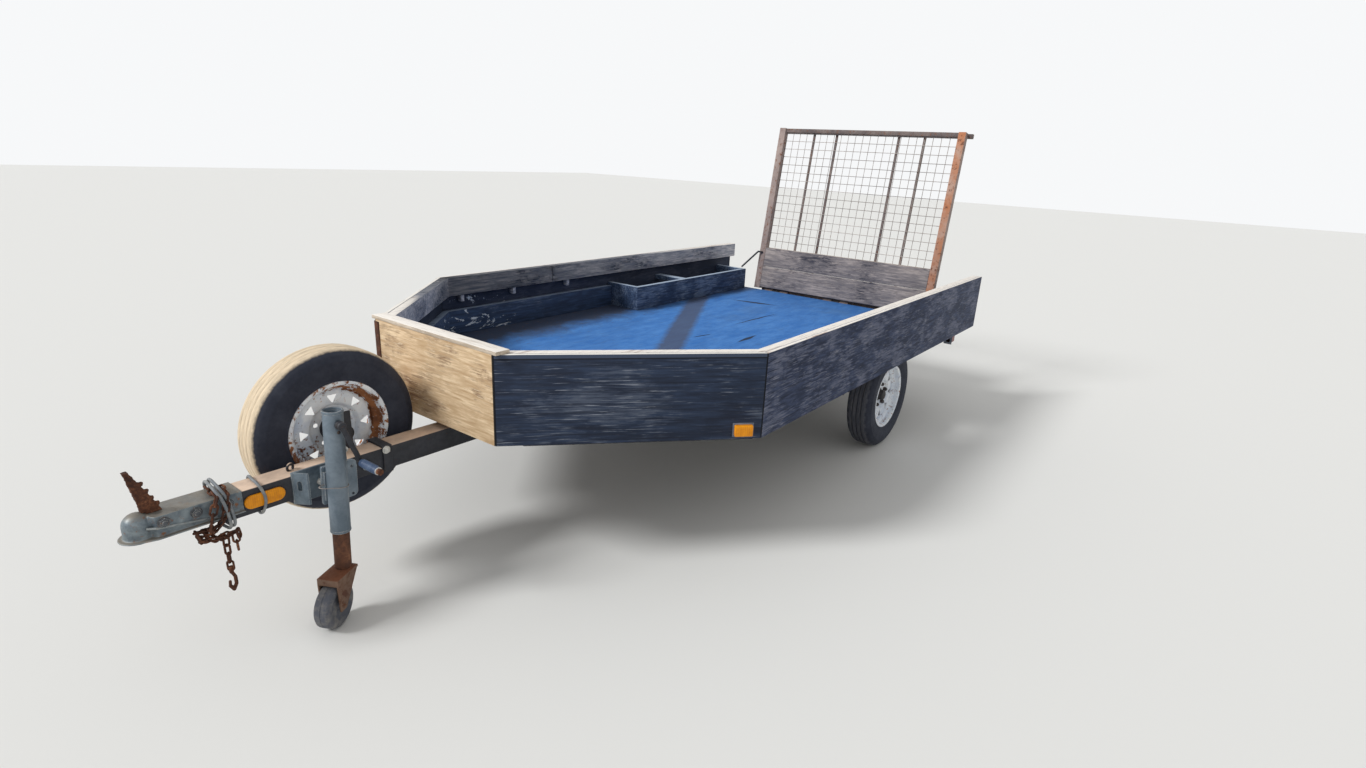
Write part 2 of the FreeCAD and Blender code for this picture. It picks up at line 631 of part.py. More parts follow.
tyre = tyreShape()
rim = rimShape()
hub = hubShape()
for side, spin, sign in (("left", 0, 1), ("right", 180, -1)):
    place = Placement(Vector(axleX, sign * wheelY, axleZ), Rotation(Vector(0, 0, 1), spin))
    node(f"hub_{side}", feature(f"hub_{side}", hub.copy(), place))
    node(f"rim_{side}", feature(f"rim_{side}", rim.copy(), place))
    node(f"tyre_{side}", feature(f"tyre_{side}", tyre.copy(), place))
sparePlace = Placement(Vector(size("spareCentreX"), -size("spareY"), size("spareHeight")), Rotation())
node("spare_rim", feature("spare_rim", rim.copy(), sparePlace))
node("spare_tyre", feature("spare_tyre", tyre.copy(), sparePlace))


# Spare carrier: a plate on the drawbar's right side, a stub through to the disc and a collar.

barHalf = size("drawbarSize") / 2
carrierThick = size("carrierThick")
plate = Part.makeBox(size("carrierWidth"), carrierThick,
                     size("spareHeight") + size("carrierTop") - size("drawbarBottom"),
                     Vector(size("spareCentreX") + size("carrierAhead") - size("carrierWidth") / 2,
                            -barHalf - carrierThick, size("drawbarBottom")))
discFace = size("spareY") - size("rimWall")
stub = pinAlong((0, -1, 0), size("carrierStub"), (size("spareCentreX"), -barHalf - 1, size("spareHeight")),
                discFace - barHalf + 12)
washer = pinAlong((0, -1, 0), size("discRadius") - 30,
                  (size("spareCentreX"), -discFace + 8 + size("seatGap"), size("spareHeight")), 8)
collarThick = size("collarThick")
collar = Part.makeBox(size("collarLength"), 2 * (barHalf + collarThick), size("drawbarSize") + 2 * collarThick,
                      Vector(size("frontX") + size("collarX"), -barHalf - collarThick,
                             size("drawbarBottom") - collarThick))
strip = Part.makeBox(size("spareX") - size("collarX"), carrierThick, size("drawbarSize") - 20,
                     Vector(size("frontX") + size("collarX"), -barHalf - carrierThick, size("drawbarBottom") + 10))
carrier = plate.fuse([stub, washer, collar, strip])
carrier = carrier.cut(Part.makeBox(size("drawbarFront"), 2 * barHalf, size("drawbarSize"),
                                   Vector(0, -barHalf, size("drawbarBottom"))))
node("spare_carrier", feature("spare_carrier", carrier))


# Gate: made upright about its hinge line, then leant back on it.

gateTurn = Rotation(Vector(0, 1, 0), -size("gateLean"))
gatePlace = Placement(Vector(size("hingeX"), size("gateShift"), size("hingeZ")), gateTurn)
gateHalf = size("gateHalf")
post = size("postSize")
foot = size("gateFoot")
gateHeight = size("gateHeight")
boardTop = size("gateBoards")
wallGap = size("postWall")

# hinge, its middle from the centre line
hingeTable = [("left", size("hingeSpread")), ("middle", 0), ("right", -size("hingeSpread"))]
knuckle = size("knuckleLength")
frame = []
for sign in (1, -1):
    low = min(sign * gateHalf, sign * (gateHalf - post))
    column = Part.makeBox(post, post, gateHeight - foot, Vector(-post / 2, low, foot))
    hollow = Part.makeBox(post - 2 * wallGap, post - 2 * wallGap, gateHeight - foot,
                          Vector(-post / 2 + wallGap, low + wallGap, foot + 8))
    frame.append(column.cut(hollow))
topBar = size("topBar")
frame.append(Part.makeBox(topBar, 2 * gateHalf + size("topBarOver") + 10, topBar,
                          Vector(-post / 2 - topBar + 4, -gateHalf - 10, gateHeight - topBar - 2)))
frame.append(Part.makeBox(topBar, 2 * gateHalf - 2 * post, topBar,
                          Vector(-topBar / 2, post - gateHalf, gateHeight - topBar - 2)))
frame.append(Part.makeBox(size("hingeStrap"), 2 * gateHalf - 2 * post, post,
                          Vector(-post / 2, post - gateHalf, foot)))
for y in (size("barInner"), size("barOuter")):
    for sign in (1, -1):
        frame.append(Part.makeBox(size("gateBar") / 2, size("gateBar"), gateHeight - topBar - foot,
                                  Vector(-post / 2, sign * y - size("gateBar") / 2, foot)))
for name, y in hingeTable:
    for beside in (-1, 1):
        middle = y + beside * (knuckle + 1)
        roll = pinAlong((0, 1, 0), size("knuckleRadius"), (0, middle - knuckle / 2, 0), knuckle)
        start = middle - knuckle / 2
        arm = Part.makeBox(size("knuckleRadius"), knuckle, foot + 8, Vector(-size("knuckleRadius"), start, 0))
        link = Part.makeBox(post / 2 - 4, knuckle, size("hingeStrap"), Vector(-post / 2, start, foot + 2))
        frame.append(roll.fuse([arm, link]))
gateFrame = frame[0].fuse(frame[1:])
for name, y in hingeTable:
    gateFrame = gateFrame.cut(pinAlong((0, 1, 0), size("hingePin") + size("runningGap"), (0, y - 4 * knuckle, 0),
                                       8 * knuckle))
node("gate_frame", feature("gate_frame", gateFrame, gatePlace))

boardThick = size("gateBoardThick")
boards = []
split = foot + 10 + size("lowerBoard")
for low, high in ((foot + 10, split), (split + 1, boardTop)):
    boards.append(Part.makeBox(boardThick, 2 * (gateHalf - post) - 2, high - low,
                               Vector(post / 2 - boardThick, 1 + post - gateHalf, low)))
node("gate_boards", feature("gate_boards", Part.makeCompound(boards), gatePlace))

wire = size("meshWire")
pitch = size("meshPitch")
meshLow, meshHigh = boardTop + 1, gateHeight - topBar - 3
meshHalf = gateHalf - post - 1
columns = int(2 * meshHalf // pitch)
rows = int((meshHigh - meshLow) // pitch)
stepY = (2 * meshHalf - wire) / columns
stepZ = (meshHigh - meshLow - wire) / rows
sheetFace = [Vector(0, -meshHalf, meshLow), Vector(0, meshHalf, meshLow), Vector(0, meshHalf, meshHigh),
             Vector(0, -meshHalf, meshHigh)]
rings = [Part.makePolygon(sheetFace + sheetFace[:1])]
for column in range(columns):
    for row in range(rows):
        y0 = -meshHalf + wire + column * stepY
        z0 = meshLow + wire + row * stepZ
        y1, z1 = y0 + stepY - wire, z0 + stepZ - wire
        hole = [Vector(0, y0, z0), Vector(0, y1, z0), Vector(0, y1, z1), Vector(0, y0, z1)]
        rings.append(Part.makePolygon(hole + hole[:1]))
grille = Part.makeFace(rings, "Part::FaceMakerBullseye").extrude(Vector(wire, 0, 0))
grille.translate(Vector(-post / 2 + size("gateBar") / 2 + 0.3, 0, 0))
node("gate_mesh", feature("gate_mesh", grille, gatePlace))

straps = []
for name, place in hingeTable:
    y = place + size("gateShift")
    roll = pinAlong((0, 1, 0), size("knuckleRadius"), (size("hingeX"), y - knuckle / 2, size("hingeZ")), knuckle)
    pin = pinAlong((0, 1, 0), size("hingePin"), (size("hingeX"), y - 1.5 * knuckle - 4, size("hingeZ")),
                   3 * knuckle + 8)
    leafPlate = Part.makeBox(size("hingeStrap"), knuckle, size("hingeZ") - size("frameTop"),
                             Vector(size("deckRear") - size("hingeStrap"), y - knuckle / 2, size("frameTop")))
    straps.append(roll.fuse([pin, leafPlate]))
node("hinge_straps", feature("hinge_straps", Part.makeCompound(straps)))

stayRadius = size("stayRadius")
stayTop = boardTop - size("stayDrop")
stayPath = [Vector(post / 2 + stayRadius, post / 2 - gateHalf, stayTop), Vector(post, -gateHalf, stayTop),
            Vector(size("stayAhead"), -gateHalf - size("stayAside"), size("stayFoot"))]
stay = pinAlong((1, 0, 0), stayRadius, (post / 2, post / 2 - gateHalf, stayTop), stayRadius)
for first, second in zip(stayPath, stayPath[1:]):
    along = second - first
    stay = stay.fuse(Part.makeCylinder(stayRadius, along.Length, first, along))
    stay = stay.fuse(Part.makeSphere(stayRadius, second))
node("gate_stay", feature("gate_stay", stay.fuse(Part.makeSphere(stayRadius, stayPath[0])), gatePlace))


# Coupler: a channel over the drawbar's end that carries a ball dome, with a latch lever on top.

wallThick = size("couplerWall")
channelHalf = barHalf + size("seatGap") + wallThick
couplerLow = size("couplerLow")
domeX = size("domeX")
domeZ = size("domeZ")
domeRadius = size("domeRadius")
back = size("couplerBack")
channelFront = domeX - size("channelReach")
planOuter = [(back, channelHalf), (channelFront, channelHalf), (channelFront + 2 * wallThick, domeRadius - 4)]
body = slab(planOuter + mirrored(planOuter)[::-1], couplerLow, size("couplerTop"))
domeLip = domeRadius + size("domeLip")
skirt = domeZ - couplerLow
lip = [(back, channelHalf + size("lipWidth")), (channelFront, channelHalf + size("lipWidth")), (domeX, domeLip)]
body = body.fuse(slab(lip + mirrored(lip)[::-1], couplerLow, couplerLow + wallThick))
body = body.fuse(Part.makeSphere(domeRadius, Vector(domeX, 0, domeZ)))
body = body.fuse(pinAlong((0, 0, -1), domeRadius, (domeX, 0, domeZ), skirt))
body = body.fuse(pinAlong((0, 0, 1), domeLip, (domeX, 0, couplerLow), wallThick))
innerHalf = barHalf + size("seatGap")
innerFront = domeX - domeRadius - 2
planInner = [(back, innerHalf), (innerFront, innerHalf)]
hollow = slab(planInner + mirrored(planInner)[::-1], couplerLow, frameTop + size("seatGap"))
body = body.cut(hollow)
body = body.cut(Part.makeSphere(size("socketRadius"), Vector(domeX, 0, domeZ)))
body = body.cut(pinAlong((0, 0, -1), size("socketRadius"), (domeX, 0, domeZ), skirt))
node("coupler", feature("coupler", body))

latchBase = domeX - size("latchBack")
latchZ = size("couplerTop")
latchOutline = [(latchBase, latchZ + 0.3), (latchBase + 46, latchZ + 0.3), (latchBase + 50, latchZ + 34),
                (latchBase + 68, latchZ + size("latchHeight")), (latchBase + 56, latchZ + size("latchHeight")),
                (latchBase + 20, latchZ + 46)]
latchHalf = size("latchWidth") / 2
latch = upright(latchOutline, -latchHalf, latchHalf)
latch = latch.cut(Part.makeSphere(domeRadius + size("seatGap"), Vector(domeX, 0, domeZ)))
node("coupler_latch", feature("coupler_latch", latch))


# Safety chain: links laid over the coupler and under the drawbar, with a hook on the hanging end.

def linkShape():
    """A link about the origin, in the plane of X and Z, long in Z."""
    length, width, wire = size("linkLength"), size("linkWidth"), size("chainWire")
    bevel = wire
    outer = [(width / 2 - bevel, length / 2), (width / 2, length / 2 - bevel)]
    inner = [(width / 2 - wire - 2, length / 2 - wire), (width / 2 - wire, length / 2 - wire - 2)]
    rings = []
    for ring in (outer, inner):
        half = ring + [(x, -z) for x, z in reversed(ring)]
        rings.append(half + [(-x, -z) for x, z in half])
    return upright(rings[0], -wire / 2, wire / 2).cut(upright(rings[1], -wire, wire))


# ahead of the chain's place, left of the centre line, height
overTop = size("couplerTop") + size("chainLift")
underBar = size("drawbarBottom") - size("chainLift")
chainSide = barHalf + size("chainLift")
chainPath = [
    (4, -20, overTop), (4, chainSide - 12, overTop + 2), (6, chainSide + 7, overTop - 5),
    (18, chainSide + 9, overTop - 30), (31, chainSide + 18, couplerLow + 9), (35, chainSide + 11, couplerLow - 14),
    (24, chainSide - 16, underBar - 6), (6, 8, underBar - 8), (30, 10, underBar - 20), (26, 24, underBar - 32),
    (0, 23, underBar - 38), (-16, 8, underBar - 32), (-14, 8, underBar - 52), (-11, 18, underBar - 88),
    (-11, 22, underBar - 118),
]
link = linkShape()
chainX = size("frontX") + size("chainX")
linkPitch = size("linkLength") - 2 * size("chainWire") + size("linkBite")
corners = [Vector(chainX + x, y, z) for x, y, z in chainPath]
walk = []
covered = 0
for first, second in zip(corners, corners[1:]):
    run = second - first
    while len(walk) * linkPitch <= covered + run.Length:
        walk.append(first + run * ((len(walk) * linkPitch - covered) / run.Length))
    covered += run.Length
links = []
for count, (first, second) in enumerate(zip(walk, walk[1:])):
    along = second - first
    ring = link.copy()
    ring.rotate(Vector(), Vector(0, 0, 1), 45 + 90 * (count % 2))
    ring.Placement = Placement((first + second) / 2, Rotation(Vector(0, 0, 1), along)).multiply(ring.Placement)
    links.append(ring)
node("safety_chain", feature("safety_chain", links[0].fuse(links[1:])))

hookEye = links[-1].BoundBox
hookX, hookY, hookTop = hookEye.Center.x, hookEye.Center.y, hookEye.ZMin - size("seatGap")
hookLength = size("hookLength")
hookOutline = [(-9, 0), (9, 0), (12, -hookLength / 2), (7, -hookLength), (-7, -hookLength), (-12, -hookLength / 2)]
hook = upright([(hookX + x, hookTop + z) for x, z in hookOutline], hookY - 3, hookY + 3)
node("chain_hook", feature("chain_hook", hook))


# Jack: a bracket on the drawbar's left side, a tube that swivels on it, a leg, a fork and a wheel.
# The tube and all below it are made upright, then leant about the swivel.

tubeX = size("tubeX")
jackY = size("jackY")
pivotZ = size("jackPivot")
bracketThick = size("bracketThick")
bracketLow = size("drawbarBottom") - size("bracketOver")
bracketHigh = frameTop + size("bracketOver")
bracketRear = tubeX - size("bracketBack")
bracketFront = tubeX + size("bracketAhead")
bracket = [Part.makeBox(bracketFront - bracketRear, bracketThick, bracketHigh - bracketLow,
                        Vector(bracketRear, barHalf, bracketLow))]
for end, inward in ((bracketRear, 1), (bracketFront, -1)):
    tip = end + inward * size("bracketSlant")
    earY = barHalf + size("bracketEar")
    bracket.append(slab([(end, barHalf), (tip, earY), (tip + inward * bracketThick, earY),
                         (end + inward * bracketThick, barHalf)], bracketLow, bracketHigh))
plateInner = jackY - size("jackRadius") - size("swivelPlate") + 3
bracket.append(pinAlong((0, 1, 0), size("swivelRadius"), (tubeX, barHalf, pivotZ),
                        plateInner - barHalf - size("seatGap")))
swivelPin = size("swivelPin")
bracket.append(pinAlong((0, 1, 0), swivelPin, (tubeX, barHalf, pivotZ), plateInner - barHalf + size("swivelPlate")))
node("jack_bracket", feature("jack_bracket", bracket[0].fuse(bracket[1:])))

jackPlace = Placement(Vector(), Rotation(Vector(0, 1, 0), -size("jackLean")), Vector(tubeX, 0, pivotZ))
jackRadius = size("jackRadius")
tubeLength = size("jackTop") - size("jackFoot")
outerTube = pinAlong((0, 0, 1), jackRadius, (tubeX, jackY, size("jackFoot")), tubeLength)
boreTool = pinAlong((0, 0, 1), jackRadius - size("jackWall"), (tubeX, jackY, size("jackFoot")), tubeLength)
plateHalf, plateHigh = size("swivelPlateHalf"), size("swivelPlateHigh")
swivel = Part.makeBox(2 * plateHalf, size("swivelPlate"), 2 * plateHigh,
                      Vector(tubeX - plateHalf, plateInner, pivotZ - plateHigh))
upEdges = [edge for edge in swivel.Edges if abs(edge.tangentAt(edge.FirstParameter).y) > 0.99]
swivel = swivel.makeFillet(swivelPin * 2, upEdges)
cheeks = Part.makeBox(2 * jackRadius, 2 * size("swivelPlate"), 1.5 * plateHigh,
                      Vector(tubeX - jackRadius, plateInner, pivotZ - 0.75 * plateHigh))
jackTube = outerTube.fuse([swivel, cheeks]).cut(boreTool)
jackTube = jackTube.cut(pinAlong((0, 1, 0), swivelPin + size("runningGap"), (tubeX, plateInner - 1, pivotZ),
                                 size("swivelPlate") + 6))
shaft = size("crankShaft")
jackTube = jackTube.cut(pinAlong((0, 1, 0), shaft + size("runningGap"),
                                 (tubeX, jackY - 2 * jackRadius, size("crankHeight")), 4 * jackRadius))
node("jack_tube", feature("jack_tube", jackTube, jackPlace))

crankY = jackY + jackRadius + 2 * shaft
crankZ = size("crankHeight")
crankBar = size("crankBar")
gripX, gripZ = tubeX - size("crankBack"), crankZ - size("crankDrop")
armLength = math.hypot(size("crankBack"), size("crankDrop"))
arm = Part.makeBox(2 * crankBar, 8, armLength + 2 * crankBar, Vector(-crankBar, 0, -armLength - crankBar))
arm.rotate(Vector(), Vector(0, 1, 0), math.degrees(math.atan2(size("crankBack"), size("crankDrop"))))
arm.translate(Vector(tubeX, crankY, crankZ))
crank = arm.fuse([
    pinAlong((0, 1, 0), shaft, (tubeX, jackY - jackRadius - 4, crankZ), crankY + 4 - jackY + jackRadius + 4),
    pinAlong((0, 1, 0), 2 * shaft - 1, (tubeX, jackY + jackRadius + size("seatGap") + 1, crankZ), 2 * shaft),
    pinAlong((0, 1, 0), shaft, (gripX, crankY, gripZ), size("gripLength") + 16),
    pinAlong((0, 1, 0), size("gripRadius"), (gripX, crankY + 10, gripZ), size("gripLength")),
])
node("jack_crank", feature("jack_crank", crank, jackPlace))

castorRadius = size("castorRadius")
half = size("castorWidth") / 2
pinRadius = size("castorPin")
bore = pinRadius + size("runningGap")
trail = size("castorTrail")
treadHalf = half - 8
castor = turned([(bore, -half), (castorRadius - 6, -half), (castorRadius, -treadHalf), (castorRadius, treadHalf),
                 (castorRadius - 6, half), (bore, half)])
castorPlace = Placement(Vector(tubeX, jackY, 0), Rotation(Vector(0, 0, 1), size("castorYaw")))
wheelPlace = castorPlace.multiply(Placement(Vector(trail, 0, castorRadius), Rotation()))

# The leg is let down in the leaning tube until the wheel meets the ground.
spin = jackPlace.multiply(wheelPlace)
tilt = abs(spin.Rotation.multVec(Vector(0, 1, 0)).z)
lowest = spin.Base.z - castorRadius * math.sqrt(1 - tilt ** 2) - treadHalf * tilt
letDown = lowest / math.cos(math.radians(size("jackLean")))
legPlace = jackPlace.multiply(Placement(Vector(0, 0, -letDown), Rotation()))
node("castor_wheel", feature("castor_wheel", castor, legPlace.multiply(wheelPlace)))

forkTop = size("forkTop")
legFoot = forkTop + size("seatGap")
leg = pinAlong((0, 0, 1), size("legRadius"), (tubeX, jackY, legFoot), size("legTop") - legFoot)
leg = leg.cut(pinAlong((0, 0, 1), size("legRadius") - size("jackWall"), (tubeX, jackY, legFoot + 20),
                       size("legTop") - legFoot))
node("jack_leg", feature("jack_leg", leg, legPlace))

gap = size("castorGap")
forkThick = size("forkThick")
forkHalf = half + gap + forkThick
forkBack = size("forkWidth") / 2
forkFront = forkBack + trail
forkPieces = [
    Part.makeBox(forkBack + forkFront, 2 * forkHalf, size("forkPlate"),
                 Vector(-forkBack, -forkHalf, forkTop - size("forkPlate"))),
    Part.makeBox(forkThick, 2 * forkHalf, size("forkLip") - 1,
                 Vector(forkFront - forkThick, -forkHalf, forkTop - size("forkLip") + 1)),
    pinAlong((0, 1, 0), pinRadius, (trail, -forkHalf - 5, castorRadius), 2 * forkHalf + 10),
]
for low in (-forkHalf, half + gap):
    outline = [(-forkBack, forkTop), (forkFront, forkTop), (forkFront, forkTop - size("forkLip")),
               (trail + 14, castorRadius - 14), (trail - 14, castorRadius - 14)]
    forkPieces.append(upright(outline, low, low + forkThick))
fork = forkPieces[0].fuse(forkPieces[1:])
node("castor_fork", feature("castor_fork", fork, legPlace.multiply(castorPlace)))


# Lamps and reflectors.

noseSlope = Vector(size("noseLength"), (size("frontWidth") - size("boxWidth")) / 2, 0).normalize()
lampTurn = Rotation(Vector(0, 0, 1), math.degrees(math.atan2(noseSlope.y, noseSlope.x)))
marker = Part.makeBox(size("markerLength"), size("markerThick"), size("markerHeight"), Vector(0, 0.3, 0))
marker.Placement = Placement(Vector(size("cornerX"), halfWidth, size("panelBottom") + size("markerLift"))
                             + noseSlope * size("markerInset"), lampTurn)
node("marker_lamps", feature("marker_lamps", Part.makeCompound(pair(marker))))

tail = Part.makeBox(size("tailLength"), size("tailDepth"), size("tailHeight"),
                    Vector(size("rearX") + size("tailBack"), halfWidth - panelThick - size("tailDepth"),
                           size("deckBottom") - size("tailHeight")))
node("tail_lamps", feature("tail_lamps", Part.makeCompound(pair(tail))))

reflectorEnd = size("reflectorHeight") / 2
reflectorHalf = size("reflectorLength") / 2 - reflectorEnd
reflectorX = size("frontX") + size("reflectorX")
reflectorZ = size("frameTop") - barHalf
lens = Part.makeBox(2 * reflectorHalf, size("reflectorThick"), 2 * reflectorEnd,
                    Vector(reflectorX - reflectorHalf, barHalf, reflectorZ - reflectorEnd))
for end in (-1, 1):
    lens = lens.fuse(pinAlong((0, 1, 0), reflectorEnd, (reflectorX + end * reflectorHalf, barHalf, reflectorZ),
                              size("reflectorThick")))
node("drawbar_reflectors", feature("drawbar_reflectors", Part.makeCompound(pair(lens.removeSplitter()))))


doc.recompute()
for thing in doc.Objects:
    if "Invalid" in thing.State or "Error" in thing.State:
        raise SystemExit(f"{thing.Label} did not build: {thing.State}")
low, high = Vector(1e9, 1e9, 1e9), Vector(-1e9, -1e9, -1e9)
for thing in nodes:
    shape = thing.Shape
    if shape.isNull() or not shape.isValid() or not shape.Solids:
        raise SystemExit(f"{thing.Label} has no valid shape")
    bounds = shape.BoundBox
    low = Vector(min(low.x, bounds.XMin), min(low.y, bounds.YMin), min(low.z, bounds.ZMin))
    high = Vector(max(high.x, bounds.XMax), max(high.y, bounds.YMax), max(high.z, bounds.ZMax))

os.makedirs("parts", exist_ok=True)
for thing in nodes:
    thing.Shape.exportStep(f"parts/{thing.Label}.step")
print(len(nodes), "sub-parts, from", tuple(low), "to", tuple(high))
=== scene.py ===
import json
import math
import random
import bpy
from mathutils import Matrix, Vector


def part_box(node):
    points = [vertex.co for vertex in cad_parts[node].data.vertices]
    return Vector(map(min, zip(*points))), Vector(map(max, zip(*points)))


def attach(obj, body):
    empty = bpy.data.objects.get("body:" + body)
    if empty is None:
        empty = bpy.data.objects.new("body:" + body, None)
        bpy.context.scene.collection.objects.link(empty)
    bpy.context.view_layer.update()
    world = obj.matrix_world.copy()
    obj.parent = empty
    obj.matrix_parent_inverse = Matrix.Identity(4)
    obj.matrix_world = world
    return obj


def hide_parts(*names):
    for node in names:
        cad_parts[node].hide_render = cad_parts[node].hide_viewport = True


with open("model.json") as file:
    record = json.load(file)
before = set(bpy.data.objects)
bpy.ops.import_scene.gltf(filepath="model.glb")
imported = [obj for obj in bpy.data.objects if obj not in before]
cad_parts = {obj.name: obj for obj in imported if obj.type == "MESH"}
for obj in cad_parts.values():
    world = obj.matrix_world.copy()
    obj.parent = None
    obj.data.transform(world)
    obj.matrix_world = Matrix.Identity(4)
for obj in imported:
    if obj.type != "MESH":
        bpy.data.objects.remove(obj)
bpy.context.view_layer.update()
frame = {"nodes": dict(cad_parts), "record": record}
slotOf = {part["node"]: part["material_slot"] for part in frame["record"]["subparts"]}
bodyOf = {node: body for body, nodes in frame["record"]["behaviour"]["bodies"].items() for node in nodes}
luck = random.Random(7)
print("frame loaded:", len(frame["nodes"]), "nodes")

# Camera, light and floor

photoCamera = {
    "place": (2.5453, 2.050, 1.413),
    "yaw": -143.68, "pitch": -17.88, "roll": 2.93,
    "focalPixels": 713.9, "imageWidth": 1366, "sensor": 36,
}
studio = {
    "worldLight": 0.60, "skyColour": (0.93, 0.94, 0.95), "floorColour": (0.74, 0.74, 0.72), "floorSize": 60,
    "sunStrength": 2.2, "sunTurn": (50, 0, 62), "sunAngle": 16,
}


def makeCamera():
    yaw, pitch, roll = (math.radians(photoCamera[k]) for k in ("yaw", "pitch", "roll"))
    ahead = Vector((math.cos(pitch) * math.cos(yaw), math.cos(pitch) * math.sin(yaw), math.sin(pitch)))
    right = ahead.cross(Vector((0, 0, 1))).normalized()
    up = right.cross(ahead)
    rolledRight = right * math.cos(roll) + up * math.sin(roll)
    rolledUp = up * math.cos(roll) - right * math.sin(roll)
    lensData = bpy.data.cameras.new("photoCamera")
    lensData.sensor_width = photoCamera["sensor"]
    lensData.lens = photoCamera["focalPixels"] / photoCamera["imageWidth"] * photoCamera["sensor"]
    camera = bpy.data.objects.new("photoCamera", lensData)
    turn = Matrix((rolledRight, rolledUp, -ahead)).transposed().to_4x4()
    camera.matrix_world = Matrix.Translation(photoCamera["place"]) @ turn
    bpy.context.scene.collection.objects.link(camera)
    bpy.context.scene.camera = camera


def makeStudio():
    scene = bpy.context.scene
    scene.view_settings.view_transform = "Standard"
    world = bpy.data.worlds.new("studio")
    scene.world = world
    world.use_nodes = True
    tree = world.node_tree
    light = tree.nodes["Background"]
    light.inputs["Color"].default_value = (1, 1, 1, 1)
    light.inputs["Strength"].default_value = studio["worldLight"]
    seen = tree.nodes.new("ShaderNodeBackground")
    seen.inputs["Color"].default_value = (*studio["skyColour"], 1)
    rays = tree.nodes.new("ShaderNodeLightPath")
    either = tree.nodes.new("ShaderNodeMath")
    either.operation = "MAXIMUM"
    tree.links.new(rays.outputs["Is Camera Ray"], either.inputs[0])
    tree.links.new(rays.outputs["Is Glossy Ray"], either.inputs[1])
    choose = tree.nodes.new("ShaderNodeMixShader")
    tree.links.new(either.outputs[0], choose.inputs[0])
    tree.links.new(light.outputs[0], choose.inputs[1])
    tree.links.new(seen.outputs[0], choose.inputs[2])
    tree.links.new(choose.outputs[0], tree.nodes["World Output"].inputs["Surface"])

    sun = bpy.data.lights.new("softSun", "SUN")
    sun.energy = studio["sunStrength"]
    sun.angle = math.radians(studio["sunAngle"])
    lamp = bpy.data.objects.new("softSun", sun)
    lamp.rotation_euler = [math.radians(a) for a in studio["sunTurn"]]
    scene.collection.objects.link(lamp)

    bpy.ops.mesh.primitive_plane_add(size=studio["floorSize"])
    floor = bpy.context.object
    floor.name = "floor"
    paint = bpy.data.materials.new("floor")
    paint.use_nodes = True
    shader = paint.node_tree.nodes["Principled BSDF"]
    shader.inputs["Base Color"].default_value = (*studio["floorColour"], 1)
    shader.inputs["Roughness"].default_value = 0.9
    floor.data.materials.append(paint)


# Material building blocks, each in the node tree of the paint begun last

def tone(red, green, blue):
    linear = [c / 255 / 12.92 if c < 11 else ((c / 255 + 0.055) / 1.055) ** 2.4 for c in (red, green, blue)]
    return (*linear, 1)


def ready(look):
    # a look with its colours, which are its tuples, made into tones
    return {key: tone(*value) if isinstance(value, tuple) else value for key, value in look.items()}


def startPaint(name):
    global tree
    paint = bpy.data.materials.new(name)
    paint.use_nodes = True
    tree = paint.node_tree
    return paint


def connect(value, socket):
    if isinstance(value, bpy.types.NodeSocket):
        tree.links.new(value, socket)
    else:
        socket.default_value = value


def put(kind, wires=None, **settings):
    added = tree.nodes.new(kind)
    for key, value in settings.items():
        setattr(added, key, value)
    for key, value in (wires or {}).items():
        connect(value, added.inputs[key])
    return added


def spot(turn=0, stretch=(1, 1, 1), centre=(0, 0, 0)):
    # object coordinates about a centre, turned about Z and then stretched
    wires = {"Vector": put("ShaderNodeTexCoord").outputs["Object"], "Location": centre,
             "Rotation": (0, 0, math.radians(turn)), "Scale": stretch}
    return put("ShaderNodeMapping", wires, vector_type="TEXTURE").outputs[0]


def noise(vector, scale, detail, roughness, distortion=0.0):
    wires = {"Vector": vector, "Scale": scale, "Detail": detail, "Roughness": roughness,
             "Distortion": distortion}
    return put("ShaderNodeTexNoise", wires).outputs["Fac"]


def ramp(value, *stops):
    # stops are (place, number or colour)
    made = put("ShaderNodeValToRGB", {"Fac": value})
    band = made.color_ramp
    while len(band.elements) < len(stops):
        band.elements.new(0.5)
    for element, (place, colour) in zip(band.elements, stops):
        element.position = place
        element.color = colour if isinstance(colour, tuple) else (colour, colour, colour, 1)
    return made.outputs["Color"]


def span(value, low, high):
    # 0 at low, 1 at high, and sharper than a ramp's steps allow
    return put("ShaderNodeMapRange", {0: value, 1: low, 2: high}).outputs[0]


def blend(share, first, second):
    return put("ShaderNodeMix", {0: share, 6: first, 7: second}, data_type="RGBA").outputs[2]


def reckon(operation, first, second=0.0):
    return put("ShaderNodeMath", {0: first, 1: second}, operation=operation).outputs[0]


def times(first, *others):
    for other in others:
        first = reckon("MULTIPLY", first, other)
    return first


def plus(first, *others):
    for other in others:
        first = reckon("ADD", first, other)
    return first


def minus(first, second):
    return reckon("SUBTRACT", first, second)


def absolute(value):
    return reckon("ABSOLUTE", value)


def coordinate(vector, axis):
    return put("ShaderNodeSeparateXYZ", {0: vector}).outputs[axis]


def placeAlong(axis):
    return coordinate(spot(), axis)


def normalAlong(axis):
    return coordinate(put("ShaderNodeTexCoord").outputs["Normal"], axis)


def facing(axis, low, high):
    # 1 where the piece's own normal points along an axis, 0 where it doesn't
    return ramp(normalAlong(axis), (low, 0), (high, 1))


def fromAxle(place):
    # distance from the wheel's own axis
    flat = put("ShaderNodeVectorMath", {0: place, 1: (1, 0, 1)}, operation="MULTIPLY").outputs[0]
    return put("ShaderNodeVectorMath", {0: flat}, operation="LENGTH").outputs["Value"]


def edgeMask(radius):
    rounded = put("ShaderNodeBevel", {"Radius": radius}, samples=4).outputs[0]
    plain = put("ShaderNodeNewGeometry").outputs["Normal"]
    match = put("ShaderNodeVectorMath", {0: rounded, 1: plain}, operation="DOT_PRODUCT").outputs["Value"]
    return ramp(minus(1.0, match), (0.02, 0), (0.25, 1))


